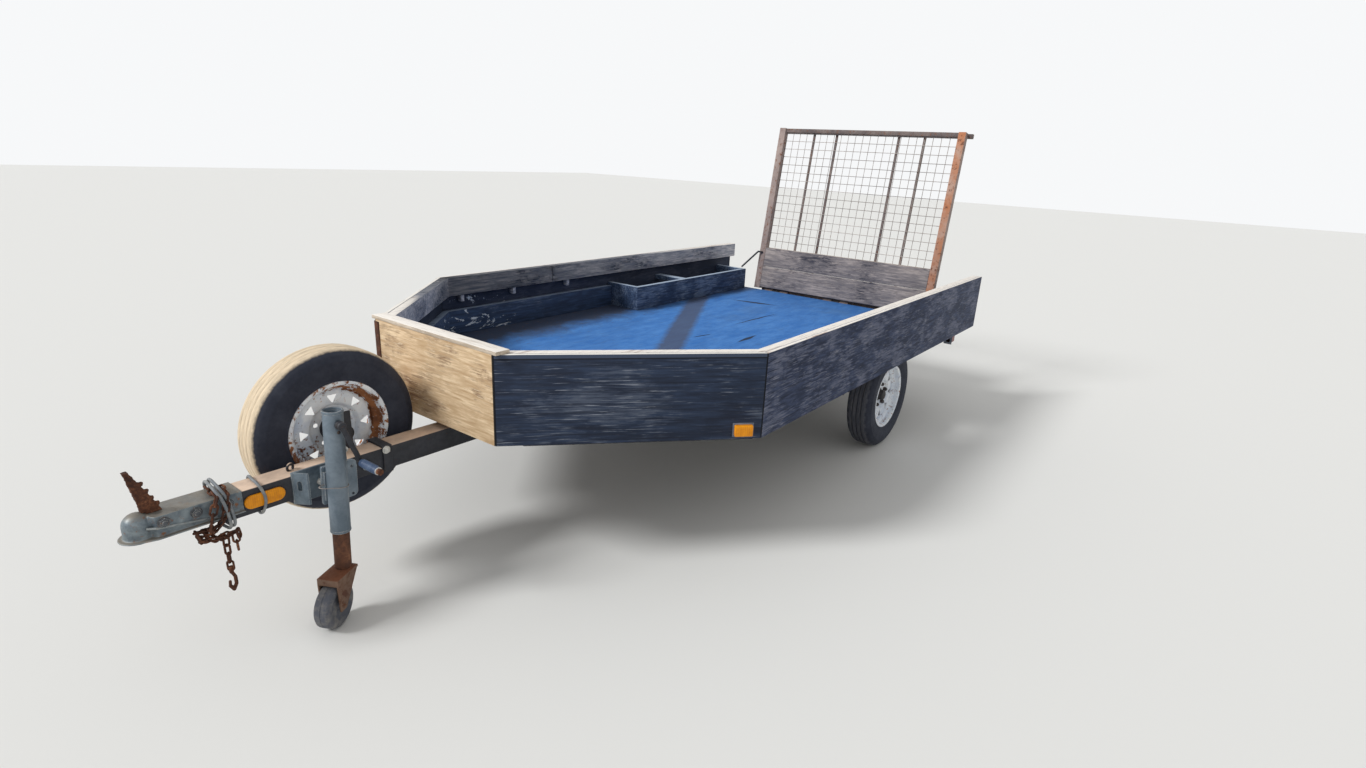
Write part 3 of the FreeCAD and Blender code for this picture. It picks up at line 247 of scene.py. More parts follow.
def fill(paint, colour, roughness, relief, specular=0.5, metal=0.0):
    # relief is (height, depth in metres, strength)
    bump = put("ShaderNodeBump", dict(zip(("Height", "Distance", "Strength"), relief)))
    shader = tree.nodes["Principled BSDF"]
    for name, value in (("Base Color", colour), ("Roughness", roughness), ("Specular IOR Level", specular),
                        ("Metallic", metal), ("Normal", bump.outputs[0])):
        connect(value, shader.inputs[name])
    return paint


# Wood: six tones, where wear and flecks begin, the grain's length and the clouds' scale

woodColumns = ("dark", "light", "wear", "fleck", "bareAndLitTop", "remains", "worn", "flecks", "long", "blob")
# the blue cast in the tones of sidePaint, nosePaint, kickPaint and boxPaint is painted skylight shade
woodRows = {
    "sidePaint": ((34, 41, 60), (66, 76, 102), (98, 103, 122), (126, 128, 140), (236, 230, 222),
                  (150, 118, 100), 0.496, 0.60, 8, 10),
    "nosePaint": ((30, 37, 53), (48, 60, 82), (80, 88, 104), (136, 142, 154), (238, 234, 226), (92, 130, 180),
                  0.535, 0.615, 16, 5),
    "frontWood": ((184, 154, 118), (226, 202, 168), (140, 112, 86), (238, 222, 194), (238, 222, 196),
                  (176, 150, 118), 0.516, 0.62, 12, 7),
    "capWood": ((176, 160, 140), (216, 204, 188), (120, 104, 92), (236, 226, 210), (240, 234, 226),
                (186, 170, 152), 0.540, 0.62, 12, 4.4),
    "rimWood": ((126, 133, 150), (208, 206, 210), (50, 64, 88), (168, 164, 166), (238, 232, 224),
                (176, 160, 150), 0.515, 0.62, 10, 6),
    "kickPaint": ((33, 47, 71), (58, 78, 110), (80, 94, 118), (120, 128, 144), (120, 134, 156), (54, 62, 82),
                  0.53, 0.63, 12, 4.4),
    "boxPaint": ((34, 48, 72), (61, 81, 112), (100, 116, 140), (150, 154, 160), (158, 172, 190),
                 (74, 84, 104), 0.51, 0.62, 10, 7),
    "gatePlank": ((108, 104, 108), (166, 156, 152), (62, 62, 72), (178, 166, 158), (186, 172, 160),
                  (96, 90, 88), 0.52, 0.61, 12, 6),
}
# seams are (axis, place, half width); the inner tone is painted shade for the faces towards the bed
woodExtras = {
    "sidePaint": {"inner": (34, 42, 58), "flakes": True, "seams": [(0, 0.5301, 0.0035)]},
    "nosePaint": {"strip": True, "inner": (28, 37, 54), "seams": [(0, 0.5301, 0.0035), (0, 1.1975, 0.0040)]},
    "frontWood": {"crack": (92, 72, 56), "seams": [(1, 0.3255, 0.0035), (1, -0.3255, 0.0035)]},
    "capWood": {"crack": (96, 82, 70)},
    "kickPaint": {"flakes": True},
}
# dark joints between boards, and the painted shadow line under the nose panels' top strip
seamAndShadowTone = tone(14, 16, 22)
flakeLook = {"rear": 0.10, "front": 0.64, "scale": 19, "from": 0.585, "tone": tone(206, 214, 224)}
woodTop = 0.795
madeWood = {}


def weatheredWood(look, turn):
    key = f"{look}_{round(turn)}"
    if key in madeWood:
        return madeWood[key]
    tones = ready({**dict(zip(woodColumns, woodRows[look])), **woodExtras.get(look, {})})
    paint = startPaint(key.replace("-", "n"))
    long, worn, flecked = tones["long"], tones["worn"], tones["flecks"]

    def grained(stretch, *settings):
        return noise(spot(turn, (stretch, 1, 1)), *settings)
    grain = grained(long, 95, 5, 0.62, 0.25)
    fibre = grained(long * 1.6, 240, 3, 0.6)
    mottle = grained(3.2, 19, 7, 0.68, 0.4)
    cloud = grained(2.0, tones["blob"], 7, 0.66, 0.5)
    body = blend(ramp(grain, (0.36, 0), (0.62, 1)), tones["dark"], tones["light"])
    body = blend(ramp(mottle, (0.36, 0.65), (0.50, 0)), body, tones["dark"])
    # paint or grey wood rubbed off along the grain, in patches
    rubbed = plus(times(cloud, 0.5), plus(times(mottle, 0.25), times(fibre, 0.25)))
    share = times(ramp(rubbed, (worn - 0.02, 0), (worn + 0.05, 1)), ramp(grain, (0.40, 0.25), (0.56, 1)))
    body = blend(share, body, tones["wear"])
    flecks = times(ramp(fibre, (flecked, 0), (flecked + 0.05, 1)), ramp(cloud, (0.44, 0.1), (0.56, 1)), 0.8)
    body = blend(flecks, body, tones["fleck"])
    crack = ramp(grained(long * 3, 70, 2, 0.5, 0.3), (0.27, 1), (0.305, 0))
    body = blend(times(crack, 0.75), body, tones.get("crack", tones["dark"]))
    if "strip" in tones:
        # a thin strip along the upper edge, pale in places, over a dark line that is a painted shadow
        under = minus(woodTop, placeAlong(2))
        patch = ramp(grained(6, 9, 3, 0.5), (0.46, 0.1), (0.50, 0.75))
        body = blend(times(span(under, 0.018, 0.016), 0.85), body, seamAndShadowTone)
        body = blend(span(under, 0.013, 0.012), body, blend(patch, tones["light"], tones["fleck"]))
    if "inner" in tones:
        # painted shade: the faces towards the bed are darker
        inward = reckon("LESS_THAN", times(placeAlong(1), normalAlong(1)), -0.05)
        body = blend(times(inward, 0.7), body, tones["inner"])
    if "flakes" in tones:
        # white remains of paint inside the right side just behind its bend
        rear, front = flakeLook["rear"], flakeLook["front"]
        inBend = times(span(placeAlong(0), rear, rear + 0.06), span(placeAlong(0), front, front - 0.10),
                       reckon("LESS_THAN", placeAlong(1), 0.0), reckon("GREATER_THAN", normalAlong(1), 0.3))
        shape = span(grained(2.2, flakeLook["scale"], 6, 0.72, 1.2),
                     flakeLook["from"], flakeLook["from"] + 0.02)
        body = blend(times(inBend, shape), body, flakeLook["tone"])
    for axis, middle, half in tones.get("seams", ()):
        off = absolute(minus(placeAlong(axis), middle))
        body = blend(times(span(off, half, half * 0.7), 0.92), body, seamAndShadowTone)
    # the sawn upper edge is bare, with some paint left, and its pale tone is partly a painted highlight on
    # the top
    edgeTone = blend(ramp(grained(9, 13, 5, 0.6, 0.4), (0.60, 0), (0.66, 0.9)),
                     tones["bareAndLitTop"], tones["remains"])
    edgeTone = blend(ramp(fibre, (0.34, 0.35), (0.48, 0)), edgeTone, tones["wear"])
    body = blend(facing(2, 0.75, 0.9), body, edgeTone)
    relief = minus(plus(times(grain, 0.7), times(fibre, 0.4)), times(crack, 0.8))
    madeWood[key] = fill(paint, body, ramp(grain, (0.3, 0.74), (0.7, 0.92)), (relief, 0.0016, 0.9), 0.25)
    return madeWood[key]


# the saturated blue of the blue and pale tones is a painted skylight shade over the deck's blue-grey paint
deckLook = {"blue": tone(48, 104, 172), "pale": tone(72, 126, 190), "grey": tone(66, 96, 134),
            "bandBrown": tone(66, 66, 74), "darkBlueGrey": tone(44, 47, 58), "rustDirt": tone(84, 66, 60),
            "split": tone(26, 32, 44), "plyDark": tone(72, 62, 54), "plyLight": tone(112, 98, 84),
            "band": (-0.667, -0.313, 0), "bandTurn": 29.8, "bandHalf": 0.068}
# start, end and half width of the splits in the deck's top veneer
deckSplits = [((-1.380, -0.488), (-1.451, -0.154), 0.024), ((-0.761, -0.063), (-1.258, -0.043), 0.009),
              ((-0.442, 0.173), (-0.673, 0.160), 0.016), ((-0.359, -0.041), (-0.508, -0.021), 0.008)]


def deckSplit(start, end, half):
    along, centre = Vector(end) - Vector(start), (Vector(start) + Vector(end)) / 2
    place = spot(math.degrees(math.atan2(along.y, along.x)), centre=(*centre, 0))
    wobble = times(minus(noise(spot(), 9, 5, 0.6), 0.5), 0.028)
    offside = absolute(plus(coordinate(place, 1), wobble))
    # narrows to nothing at both ends
    share = reckon("POWER", times(absolute(coordinate(place, 0)), 2 / along.length), 1.5)
    return span(plus(offside, times(share, half)), half, half * 0.7)


def deckPaint():
    paint = startPaint("deckPaint")
    wide = noise(spot(), 1.7, 6, 0.6, 0.4)
    frost = noise(spot(0, (2.4, 1, 1)), 15, 7, 0.72)
    fine = noise(spot(0, (14, 1, 1)), 150, 3, 0.6)
    body = blend(ramp(frost, (0.36, 0), (0.64, 1)), deckLook["blue"], deckLook["pale"])
    body = blend(ramp(wide, (0.54, 0), (0.72, 0.55)), body, deckLook["grey"])
    body = blend(ramp(fine, (0.36, 0.35), (0.46, 0)), body, deckLook["grey"])
    # a straight brown band across the deck
    across = absolute(coordinate(spot(deckLook["bandTurn"], centre=deckLook["band"]), 1))
    ragged = plus(across, times(noise(spot(), 22, 7, 0.7), 0.045))
    half = deckLook["bandHalf"]
    body = blend(ramp(ragged, (half * 0.98, 0.75), (half * 1.5, 0)), body, deckLook["bandBrown"])
    # darker along the outer edges and towards the nose
    blotches = noise(spot(), 5.5, 8, 0.72, 0.3)
    outer = plus(absolute(placeAlong(1)), times(blotches, 0.36))
    body = blend(ramp(outer, (0.73, 0), (0.90, 0.92)), body, deckLook["darkBlueGrey"])
    ahead = times(plus(placeAlong(0), times(blotches, 0.6)), 0.5)
    body = blend(ramp(ahead, (0.46, 0), (0.62, 0.85)), body, deckLook["darkBlueGrey"])
    crumbs = ramp(noise(spot(), 60, 5, 0.75), (0.60, 0), (0.64, 0.9))
    body = blend(times(crumbs, ramp(outer, (0.55, 0.05), (0.85, 1))), body, deckLook["rustDirt"])
    splits = 0.0
    for split in deckSplits:
        splits = reckon("MAXIMUM", splits, deckSplit(*split))
    body = blend(times(splits, 0.92), body, deckLook["split"])
    # only the upper side is painted: below is bare plywood, grey with road dirt
    below = blend(ramp(fine, (0.40, 0), (0.60, 1)), deckLook["plyDark"], deckLook["plyLight"])
    below = blend(ramp(blotches, (0.44, 0), (0.60, 0.8)), below, deckLook["darkBlueGrey"])
    body = blend(facing(2, 0.5, 0.8), below, body)
    relief = minus(plus(frost, times(fine, 0.5)), splits)
    return fill(paint, body, 0.8, (relief, 0.0014, 0.7), 0.25)


# Steel: five tones, where rust begins, sheen, metal, the scales of clouds and specks,
# and the radius of the worn edges

steelColumns = ("paint", "faded", "rust", "bareEdge", "dust", "rustFrom", "sheen", "metal", "cloudScale",
                "speckScale", "edge")
steelRows = {
    "blackSteel": ((28, 30, 36), (46, 48, 56), (86, 52, 34), (110, 92, 80), None, 0.66, 0.50, 0.0, 9, 55,
                   0.0025),
    "dustySteel": ((26, 28, 34), (42, 44, 52), (92, 56, 36), (150, 126, 106), (228, 200, 176), 0.64, 0.50,
                   0.0, 9, 55, 0.0025),
    "greyZinc": ((80, 94, 106), (116, 130, 140), (120, 86, 62), (214, 210, 200), None, 0.66, 0.40, 0.25, 20,
                 55, 0.0025),
    "tubeZinc": ((92, 106, 118), (126, 138, 148), (120, 92, 70), (232, 222, 208), None, 0.72, 0.38, 0.2, 12,
                 55, 0.002),
    "brightZinc": ((176, 176, 172), (214, 212, 206), (128, 96, 70), (236, 234, 228), None, 0.66, 0.35, 0.3, 9,
                   120, 0.0025),
    "forkIron": ((96, 64, 46), (120, 94, 76), (84, 48, 32), (144, 108, 82), (118, 70, 44), 0.52, 0.6, 0.0, 26,
                 36, 0.0025),
    "couplerIron": ((80, 92, 102), (134, 144, 148), (132, 92, 64), (206, 204, 194), (124, 118, 108), 0.58,
                    0.42, 0.3, 24, 60, 0.0035),
    "ridgeZinc": ((118, 126, 130), (166, 170, 168), (126, 90, 64), (210, 208, 200), None, 0.60, 0.40, 0.3, 26,
                  55, 0.0025),
    "boltZinc": ((58, 62, 68), (92, 96, 100), (116, 80, 58), (226, 222, 214), None, 0.56, 0.40, 0.3, 60, 55,
                 0.0016),
    "rustPost": ((176, 112, 74), (178, 144, 126), (112, 72, 54), (206, 178, 160), None, 0.56, 0.66, 0.0, 9,
                 40, 0.0025),
    "greyPost": ((138, 122, 118), (166, 148, 140), (124, 84, 64), (190, 176, 166), None, 0.56, 0.66, 0.0, 9,
                 40, 0.0025),
    "rustyBar": ((84, 74, 74), (122, 108, 102), (120, 80, 58), (156, 136, 122), None, 0.56, 0.6, 0.0, 10, 55,
                 0.0025),
    "wireSteel": ((134, 124, 118), (176, 168, 162), (116, 82, 62), (190, 184, 178), None, 0.60, 0.42, 0.35, 4,
                  55, 0.001),
    "hubIron": ((30, 30, 34), (52, 48, 48), (84, 50, 34), (96, 78, 66), None, 0.58, 0.5, 0.0, 9, 80, 0.0025),
}


def wornSteel(name):
    # painted steel: dust on top, rust in spots and bare metal or rust on the edges
    look = ready(dict(zip(steelColumns, steelRows[name])))
    paint = startPaint(name)
    cloud = noise(spot(), look["cloudScale"], 6, 0.65, 0.3)
    speck = noise(spot(), look["speckScale"], 5, 0.7)
    body = blend(ramp(cloud, (0.36, 0), (0.66, 1)), look["paint"], look["faded"])
    rust = ramp(speck, (look["rustFrom"], 0), (look["rustFrom"] + 0.08, 1))
    body = blend(rust, body, look["rust"])
    if look["dust"]:
        body = blend(times(facing(2, 0.55, 0.9), ramp(cloud, (0.25, 0.5), (0.6, 0.95))), body, look["dust"])
    edge = times(edgeMask(look["edge"]), ramp(speck, (0.38, 0.15), (0.6, 1)))
    body = blend(edge, body, look["bareEdge"])
    roughness = ramp(speck, (0.35, look["sheen"]), (0.65, look["sheen"] + 0.25))
    return fill(paint, body, roughness, (plus(speck, times(rust, 0.8)), 0.0006, 0.7), metal=look["metal"])


def rustedIron(name, dark, warm, glow, scale=60, depth=0.0014):
    paint = startPaint(name)
    coarse = noise(spot(), scale * 0.35, 6, 0.7, 0.4)
    fine = noise(spot(), scale * 2.2, 5, 0.7)
    body = ramp(coarse, (0.34, tone(*dark)), (0.52, tone(*warm)), (0.68, tone(*glow)))
    body = blend(ramp(fine, (0.40, 0.6), (0.60, 0)), body, tone(*dark))
    return fill(paint, body, 0.86, (plus(coarse, times(fine, 0.5)), depth, 0.9), 0.3)


# the blue tone, mixed into the white in patches, is a painted skylight shade tint
rimPaintLook = {"white": tone(236, 240, 244), "blue": tone(196, 208, 226), "rust": tone(164, 106, 62),
                "darkRust": tone(104, 62, 38), "ring": 0.137, "ringWide": 0.010, "flange": 0.150}


def chippedWhite(name, centre, rusty):
    # rim paint about the wheel's own centre: rust gathers in the well, in chips and below
    look = rimPaintLook
    paint = startPaint(name)
    place = spot(centre=centre)
    radius = fromAxle(place)
    cloud = noise(place, 16, 6, 0.65, 0.4)
    chips = noise(place, 60, 6, 0.75, 0.2)
    body = blend(ramp(cloud, (0.42, 0), (0.66, 0.7)), look["white"], look["blue"])
    ragged = minus(absolute(minus(radius, look["ring"])), times(minus(cloud, 0.45), 0.06))
    ring = span(ragged, look["ringWide"] * 1.3, look["ringWide"] * 0.3)
    behind = span(coordinate(place, 0), 0.09, -0.08)
    below = span(minus(times(coordinate(place, 0), 0.6), coordinate(place, 2)), 0.04, 0.13)
    flange = span(radius, look["flange"], look["flange"] + 0.004)
    for mask, share in ((times(ring, behind), 0.26), (below, 0.13), (flange, 0.055)):
        chips = plus(chips, times(mask, share * rusty))
    rust = ramp(chips, (0.60, 0), (0.66, 1))
    body = blend(rust, body, blend(ramp(cloud, (0.40, 0), (0.62, 1)), look["rust"], look["darkRust"]))
    edge = times(edgeMask(0.003), ramp(chips, (0.46, 0), (0.60, 0.9)))
    body = blend(edge, body, look["darkRust"])
    return fill(paint, body, ramp(chips, (0.4, 0.45), (0.7, 0.85)),
                (minus(chips, times(rust, 0.5)), 0.0009, 0.8))


# the blue cast of the rubber tones is painted skylight shade
tyrePaintLook = {"rubber": tone(37, 41, 54), "grey": tone(56, 60, 72), "shoulder": 0.258, "edge": 0.264}


def wornTyre(name, centre, treadTone, treadDustAndSun):
    look = tyrePaintLook
    paint = startPaint(name)
    place = spot(centre=centre)
    cloud = noise(place, 11, 6, 0.65, 0.3)
    fine = noise(place, 90, 5, 0.7)
    body = blend(ramp(cloud, (0.42, 0), (0.68, 0.8)), look["rubber"], look["grey"])
    ragged = plus(fromAxle(place), times(minus(fine, 0.5), 0.008))
    # streaks that run round the tread, which on the spare also carry a painted sunlit highlight
    angle = absolute(reckon("ARCTAN2", coordinate(place, 2), coordinate(place, 0)))
    run = put("ShaderNodeCombineXYZ", {0: times(coordinate(place, 1), 90), 1: times(angle, 5)}).outputs[0]
    dustAndSunTread = blend(ramp(noise(run, 1.0, 6, 0.7), (0.34, 0), (0.66, 1)), tone(*treadTone), tone(*treadDustAndSun))
    body = blend(span(ragged, look["shoulder"], look["edge"]), body, dustAndSunTread)
    return fill(paint, body, ramp(fine, (0.3, 0.68), (0.7, 0.88)), (fine, 0.0007, 0.6), 0.35)


def ribbedLens(name, bright, deep):
    paint = startPaint(name)
    ribs = put("ShaderNodeTexWave", {"Vector": spot(), "Scale": 55.0, "Distortion": 0.2},
               wave_type="BANDS", bands_direction="X").outputs["Fac"]
    body = blend(ramp(noise(spot(), 60, 4, 0.6), (0.4, 0), (0.7, 0.55)), tone(*bright), tone(*deep))
    return fill(paint, blend(times(ribs, 0.25), body, tone(*deep)), 0.28, (ribs, 0.0006, 0.5), 0.3)


def mouldedPlastic(name, base, worn, rough):
    paint = startPaint(name)
    cloud = noise(spot(), 30, 6, 0.7)
    scuff = noise(spot(0, (1, 6, 1)), 120, 4, 0.6)
    body = blend(ramp(cloud, (0.45, 0), (0.66, 0.7)), tone(*base), tone(*worn))
    body = blend(ramp(scuff, (0.66, 0), (0.72, 0.6)), body, tone(*worn))
    return fill(paint, body, ramp(cloud, (0.3, rough), (0.7, rough + 0.2)), (scuff, 0.0003, 0.5))


(blackSteel, dustySteel, greyZinc, tubeZinc, brightZinc, forkIron, couplerIron, ridgeZinc, boltZinc,
 rustPost, greyPost, rustyBar, wireSteel, hubIron) = [wornSteel(name) for name in steelRows]
deepRust = rustedIron("deepRust", (52, 34, 28), (98, 60, 42), (148, 98, 68))
legRust = rustedIron("legRust", (70, 48, 40), (112, 74, 54), (156, 108, 78), 30, 0.0008)
springRust = rustedIron("springRust", (40, 28, 24), (78, 48, 34), (112, 72, 48), 40)
castorRubber = mouldedPlastic("castorRubber", (80, 83, 92), (138, 134, 128), 0.7)
crankGrip = mouldedPlastic("crankGrip", (48, 68, 98), (88, 106, 130), 0.45)
greyLead = mouldedPlastic("greyLead", (112, 118, 124), (164, 164, 158), 0.5)
lampBase = mouldedPlastic("lampBase", (86, 94, 110), (136, 142, 152), 0.6)
amberLens = ribbedLens("amberLens", (238, 154, 8), (186, 104, 2))
redLens = ribbedLens("redLens", (128, 24, 22), (70, 14, 14))
print("finishes ready")

# Modelling helpers

def turnBy(degrees, axis):
    return Matrix.Rotation(math.radians(degrees), 4, axis)


def shiftBy(*place):
    return Matrix.Translation(place)


def only(thing):
    if bpy.context.mode != "OBJECT":
        bpy.ops.object.mode_set(mode="OBJECT")
    bpy.ops.object.select_all(action="DESELECT")
    thing.select_set(True)
    bpy.context.view_layer.objects.active = thing
    return thing


def inEdit(thing, *steps):
    only(thing)
    bpy.ops.object.mode_set(mode="EDIT")
    bpy.ops.mesh.select_mode(type="FACE")
    bpy.ops.mesh.select_all(action="SELECT")
    for step in steps:
        step()
    bpy.ops.object.mode_set(mode="OBJECT")
    return thing


def onFaces(thing, wanted, *steps):
    # edits only the faces that a test of (centre, normal) picks
    inEdit(thing, lambda: bpy.ops.mesh.select_all(action="DESELECT"))
    for face in thing.data.polygons:
        face.select = bool(wanted(face.center, face.normal))
    bpy.ops.object.mode_set(mode="EDIT")
    for step in steps:
        step()
    bpy.ops.object.mode_set(mode="OBJECT")
    return thing


def modify(thing, kind, **settings):
    only(thing)
    added = thing.modifiers.new(kind.lower(), kind)
    for key, value in settings.items():
        setattr(added, key, value)
    bpy.ops.object.modifier_apply(modifier=added.name)
    return thing


def bevelled(thing, width, segments=2, angle=35):
    return modify(thing, "BEVEL", width=width, segments=segments, limit_method="ANGLE",
                  angle_limit=math.radians(angle))


def settled(thing):
    only(thing)
    bpy.ops.object.transform_apply(location=True, rotation=True, scale=True)
    return thing


def moved(thing, matrix):
    thing.matrix_world = matrix @ thing.matrix_world
    return settled(thing)


def another(thing, name, matrix=None):
    made = thing.copy()
    made.data = thing.data.copy()
    made.name = name
    bpy.context.scene.collection.objects.link(made)
    return moved(made, matrix) if matrix else made


def joined(name, things):
    only(things[0])
    for thing in things[1:]:
        thing.select_set(True)
    bpy.ops.object.join()
    things[0].name = name
    return things[0]


def carved(thing, *tools):
    for tool in tools:
        modify(thing, "BOOLEAN", operation="DIFFERENCE", object=tool, solver="EXACT")
        bpy.data.objects.remove(tool)
    return thing


def block(name, low, high, width=0.002, segments=2):
    low, high = Vector(low), Vector(high)
    bpy.ops.mesh.primitive_cube_add(size=1, location=(low + high) / 2)
    made = bpy.context.object
    made.name = name
    made.scale = high - low
    settled(made)
    return bevelled(made, width, segments) if width else made


def rod(name, start, end, radius, sides=16, width=0.001):
    start, end = Vector(start), Vector(end)
    along = end - start
    turn = along.to_track_quat("Z", "Y").to_euler()
    bpy.ops.mesh.primitive_cylinder_add(vertices=sides, radius=radius, depth=along.length,
                                        location=(start + end) / 2, rotation=turn)
    made = bpy.context.object
    made.name = name
    settled(made)
    return bevelled(made, width, 2, 60) if width else made


def spun(name, outline, steps=64, turn=None):
    # a closed outline of (radius, along) points spun about the Y axis
    bpy.ops.mesh.primitive_circle_add(vertices=len(outline), radius=1)
    made = bpy.context.object
    made.name = name
    for vertex, (radius, along) in zip(made.data.vertices, outline):
        vertex.co = (radius, along, 0)
    inEdit(made, lambda: bpy.ops.mesh.spin(steps=steps, angle=2 * math.pi, center=(0, 0, 0), axis=(0, 1, 0)),
           lambda: bpy.ops.mesh.select_all(action="SELECT"),
           lambda: bpy.ops.mesh.remove_doubles(threshold=1e-5),
           lambda: bpy.ops.mesh.normals_make_consistent(inside=False))
    return moved(made, turn) if turn else made


def mm(points):
    return [tuple(value / 1000 for value in point) for point in points]

def mirrored(outline):
    return [(radius, -along) for radius, along in reversed(outline)]


def finish(thing, body, slot, material, *replaced, smooth=35):
    thing.data.materials.clear()
    thing.data.materials.append(material)
    for face in thing.data.polygons:
        face.material_index = 0
    return hand(thing, body, slot, *replaced, smooth=smooth)


def hand(thing, body, slot, *replaced, smooth=35):
    only(thing)
    bpy.ops.object.shade_smooth_by_angle(angle=math.radians(smooth))
    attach(thing, body)
    if replaced:
        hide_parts(*replaced)
    return thing


def copyNode(node):
    made = bpy.data.objects.new(f"{node}_shown", frame["nodes"][node].data.copy())
    bpy.context.scene.collection.objects.link(made)
    made.data.materials.clear()
    return inEdit(made, lambda: bpy.ops.mesh.remove_doubles(threshold=1e-5),
                  lambda: bpy.ops.mesh.dissolve_limited(angle_limit=math.radians(1)))


def looseParts(node):
    only(copyNode(node))
    bpy.ops.mesh.separate(type="LOOSE")
    return list(bpy.context.selected_objects)


def dress(node, material, width=0.0015, segments=2, angle=40):
    made = bevelled(copyNode(node), width, segments, angle)
    return finish(made, bodyOf[node], slotOf[node], material, node)


def boards(node, look, width=0.0022):
    # each board's grain runs along its longest edge
    for count, piece in enumerate(looseParts(node), 1):
        piece.name = f"{node}_board_{count}"
        places = [vertex.co for vertex in piece.data.vertices]
        edge = max(piece.data.edges, key=lambda e: (places[e.vertices[0]] - places[e.vertices[1]]).length)
        along = places[edge.vertices[0]] - places[edge.vertices[1]]
        turn = (math.degrees(math.atan2(along.y, along.x)) + 90) % 180 - 90
        bevelled(piece, width, 2)
        finish(piece, bodyOf[node], slotOf[node], weatheredWood(look, turn), node)


# What repeats: a hexagon bolt head on its washer, along +Z

boltLook = {"head": 0.010, "high": 0.0075, "washer": 0.0125, "washerHigh": 0.0018, "stud": 0.0055,
            "studOver": 0.004, "inset": 0.0012, "insetDeep": 0.0006}


def makeBolt():
    rise, high = boltLook["washerHigh"], boltLook["high"]
    head = rod("boltHead", (0, 0, rise), (0, 0, high), boltLook["head"], 6, 0)
    onFaces(head, lambda centre, normal: normal.z > 0.9,
            lambda: bpy.ops.mesh.inset(thickness=boltLook["inset"], depth=boltLook["insetDeep"]))
    washer = rod("boltWasher", (0, 0, 0), (0, 0, rise), boltLook["washer"], 20, 0.0004)
    stud = rod("boltStud", (0, 0, 0), (0, 0, high + boltLook["studOver"]), boltLook["stud"], 12, 0.0006)
    return joined("boltModel", [head, washer, stud])


boltModel = makeBolt()


def bolts(name, body, slot, material, places, scale=1.0):
    # places are (position, direction)
    made = []
    for count, (place, direction) in enumerate(places):
        turn = Vector(direction).to_track_quat("Z", "Y").to_matrix().to_4x4()
        spinAbout = Matrix.Rotation(luck.uniform(0, 6.28), 4, "Z")
        made.append(another(boltModel, f"{name}_{count}",
                            Matrix.Translation(place) @ turn @ spinAbout @ Matrix.Scale(scale, 4)))
    return finish(joined(name, made), body, slot, material)


# Where the main pieces are, in metres

hingeX, hingeY, hingeZ = -1.88787, 0.030, 0.505
gateTurn = shiftBy(hingeX, hingeY, hingeZ) @ turnBy(-9.5, "Y")
tubeX, jackY, pivotZ = 1.61013, 0.118, 0.430
jackTurn = shiftBy(tubeX, 0, pivotZ) @ turnBy(-2, "Y") @ shiftBy(-tubeX, 0, -pivotZ)
legTurn = jackTurn @ shiftBy(0, 0, -0.0017478)
castorTurn = legTurn @ shiftBy(tubeX, jackY, 0) @ turnBy(30, "Z")
frontX = 1.19813
spareCentre = Vector((1.48613, -0.131, 0.516))
noseTurn = math.degrees(math.atan2(-0.589, 0.668))

# Timber: panels, rim and kick boards, wheel boxes, gate boards and the deck

timberLook = {"panelEdge": 0.0022, "thickEdge": 0.0025, "gateEdge": 0.003, "sharp": 35}
for side, sign in (("left", 1), ("right", -1)):
    for part, look, turn, edge in (("side_panel", "sidePaint", 0, "panelEdge"),
                                   ("nose_panel", "nosePaint", sign * noseTurn, "panelEdge"),
                                   ("wheel_box", "boxPaint", 0, "thickEdge")):
        dress(f"{part}_{side}", weatheredWood(look, turn), timberLook[edge], 2, timberLook["sharp"])
dress("front_panel", weatheredWood("frontWood", 90), timberLook["thickEdge"], 2, timberLook["sharp"])
boards("rim_boards", "rimWood")
boards("kick_boards", "kickPaint")
boards("gate_boards", "gatePlank", timberLook["gateEdge"])
dress("deck", deckPaint())

# Fixed trim on the timber: the cap on the front panel, a corner iron, and battens behind the rim boards

trimLook = {"capDeep": 0.054, "capHalf": 0.345, "capHigh": 0.013, "iron": 0.026, "ironThick": 0.003,
            "ironY": -0.3275, "ironLow": 0.500, "ironHigh": 0.788, "battens": (-0.280, 0.106, 0.428),
            "battenHalf": 0.009, "battenLow": 0.672, "battenHigh": 0.708, "battenY": (0.868, 0.897)}
finish(block("front_cap", (frontX - trimLook["capDeep"], -trimLook["capHalf"], woodTop),
             (frontX + 0.001, trimLook["capHalf"], woodTop + trimLook["capHigh"]), 0.002),
       "chassis", "bare_wood", weatheredWood("capWood", 90))
battens = []
for x in trimLook["battens"]:
    for sign in (1, -1):
        near, far = (sign * y for y in trimLook["battenY"])
        battens.append(block("batten", (x - trimLook["battenHalf"], min(near, far), trimLook["battenLow"]),
                             (x + trimLook["battenHalf"], max(near, far), trimLook["battenHigh"]), 0.0012))
finish(joined("rim_battens", battens), "chassis", "bare_wood", weatheredWood("rimWood", 90))
ironLow = (frontX - 0.001, trimLook["ironY"], trimLook["ironLow"])
ironHigh = (frontX + trimLook["ironThick"], trimLook["ironY"] + trimLook["iron"], trimLook["ironHigh"])
ironCorner = shiftBy(frontX, trimLook["ironY"], 0) @ turnBy(-noseTurn, "Z")
ironSide = block("iron_side", (-trimLook["iron"], -trimLook["ironThick"], trimLook["ironLow"]),
                 (0, 0.001, trimLook["ironHigh"]), 0.0008)
finish(joined("corner_iron", [block("iron_front", ironLow, ironHigh, 0.0008), moved(ironSide, ironCorner)]),
       "chassis", "rusty_steel", deepRust)
print("timber ready")

# Frame, axle and springs

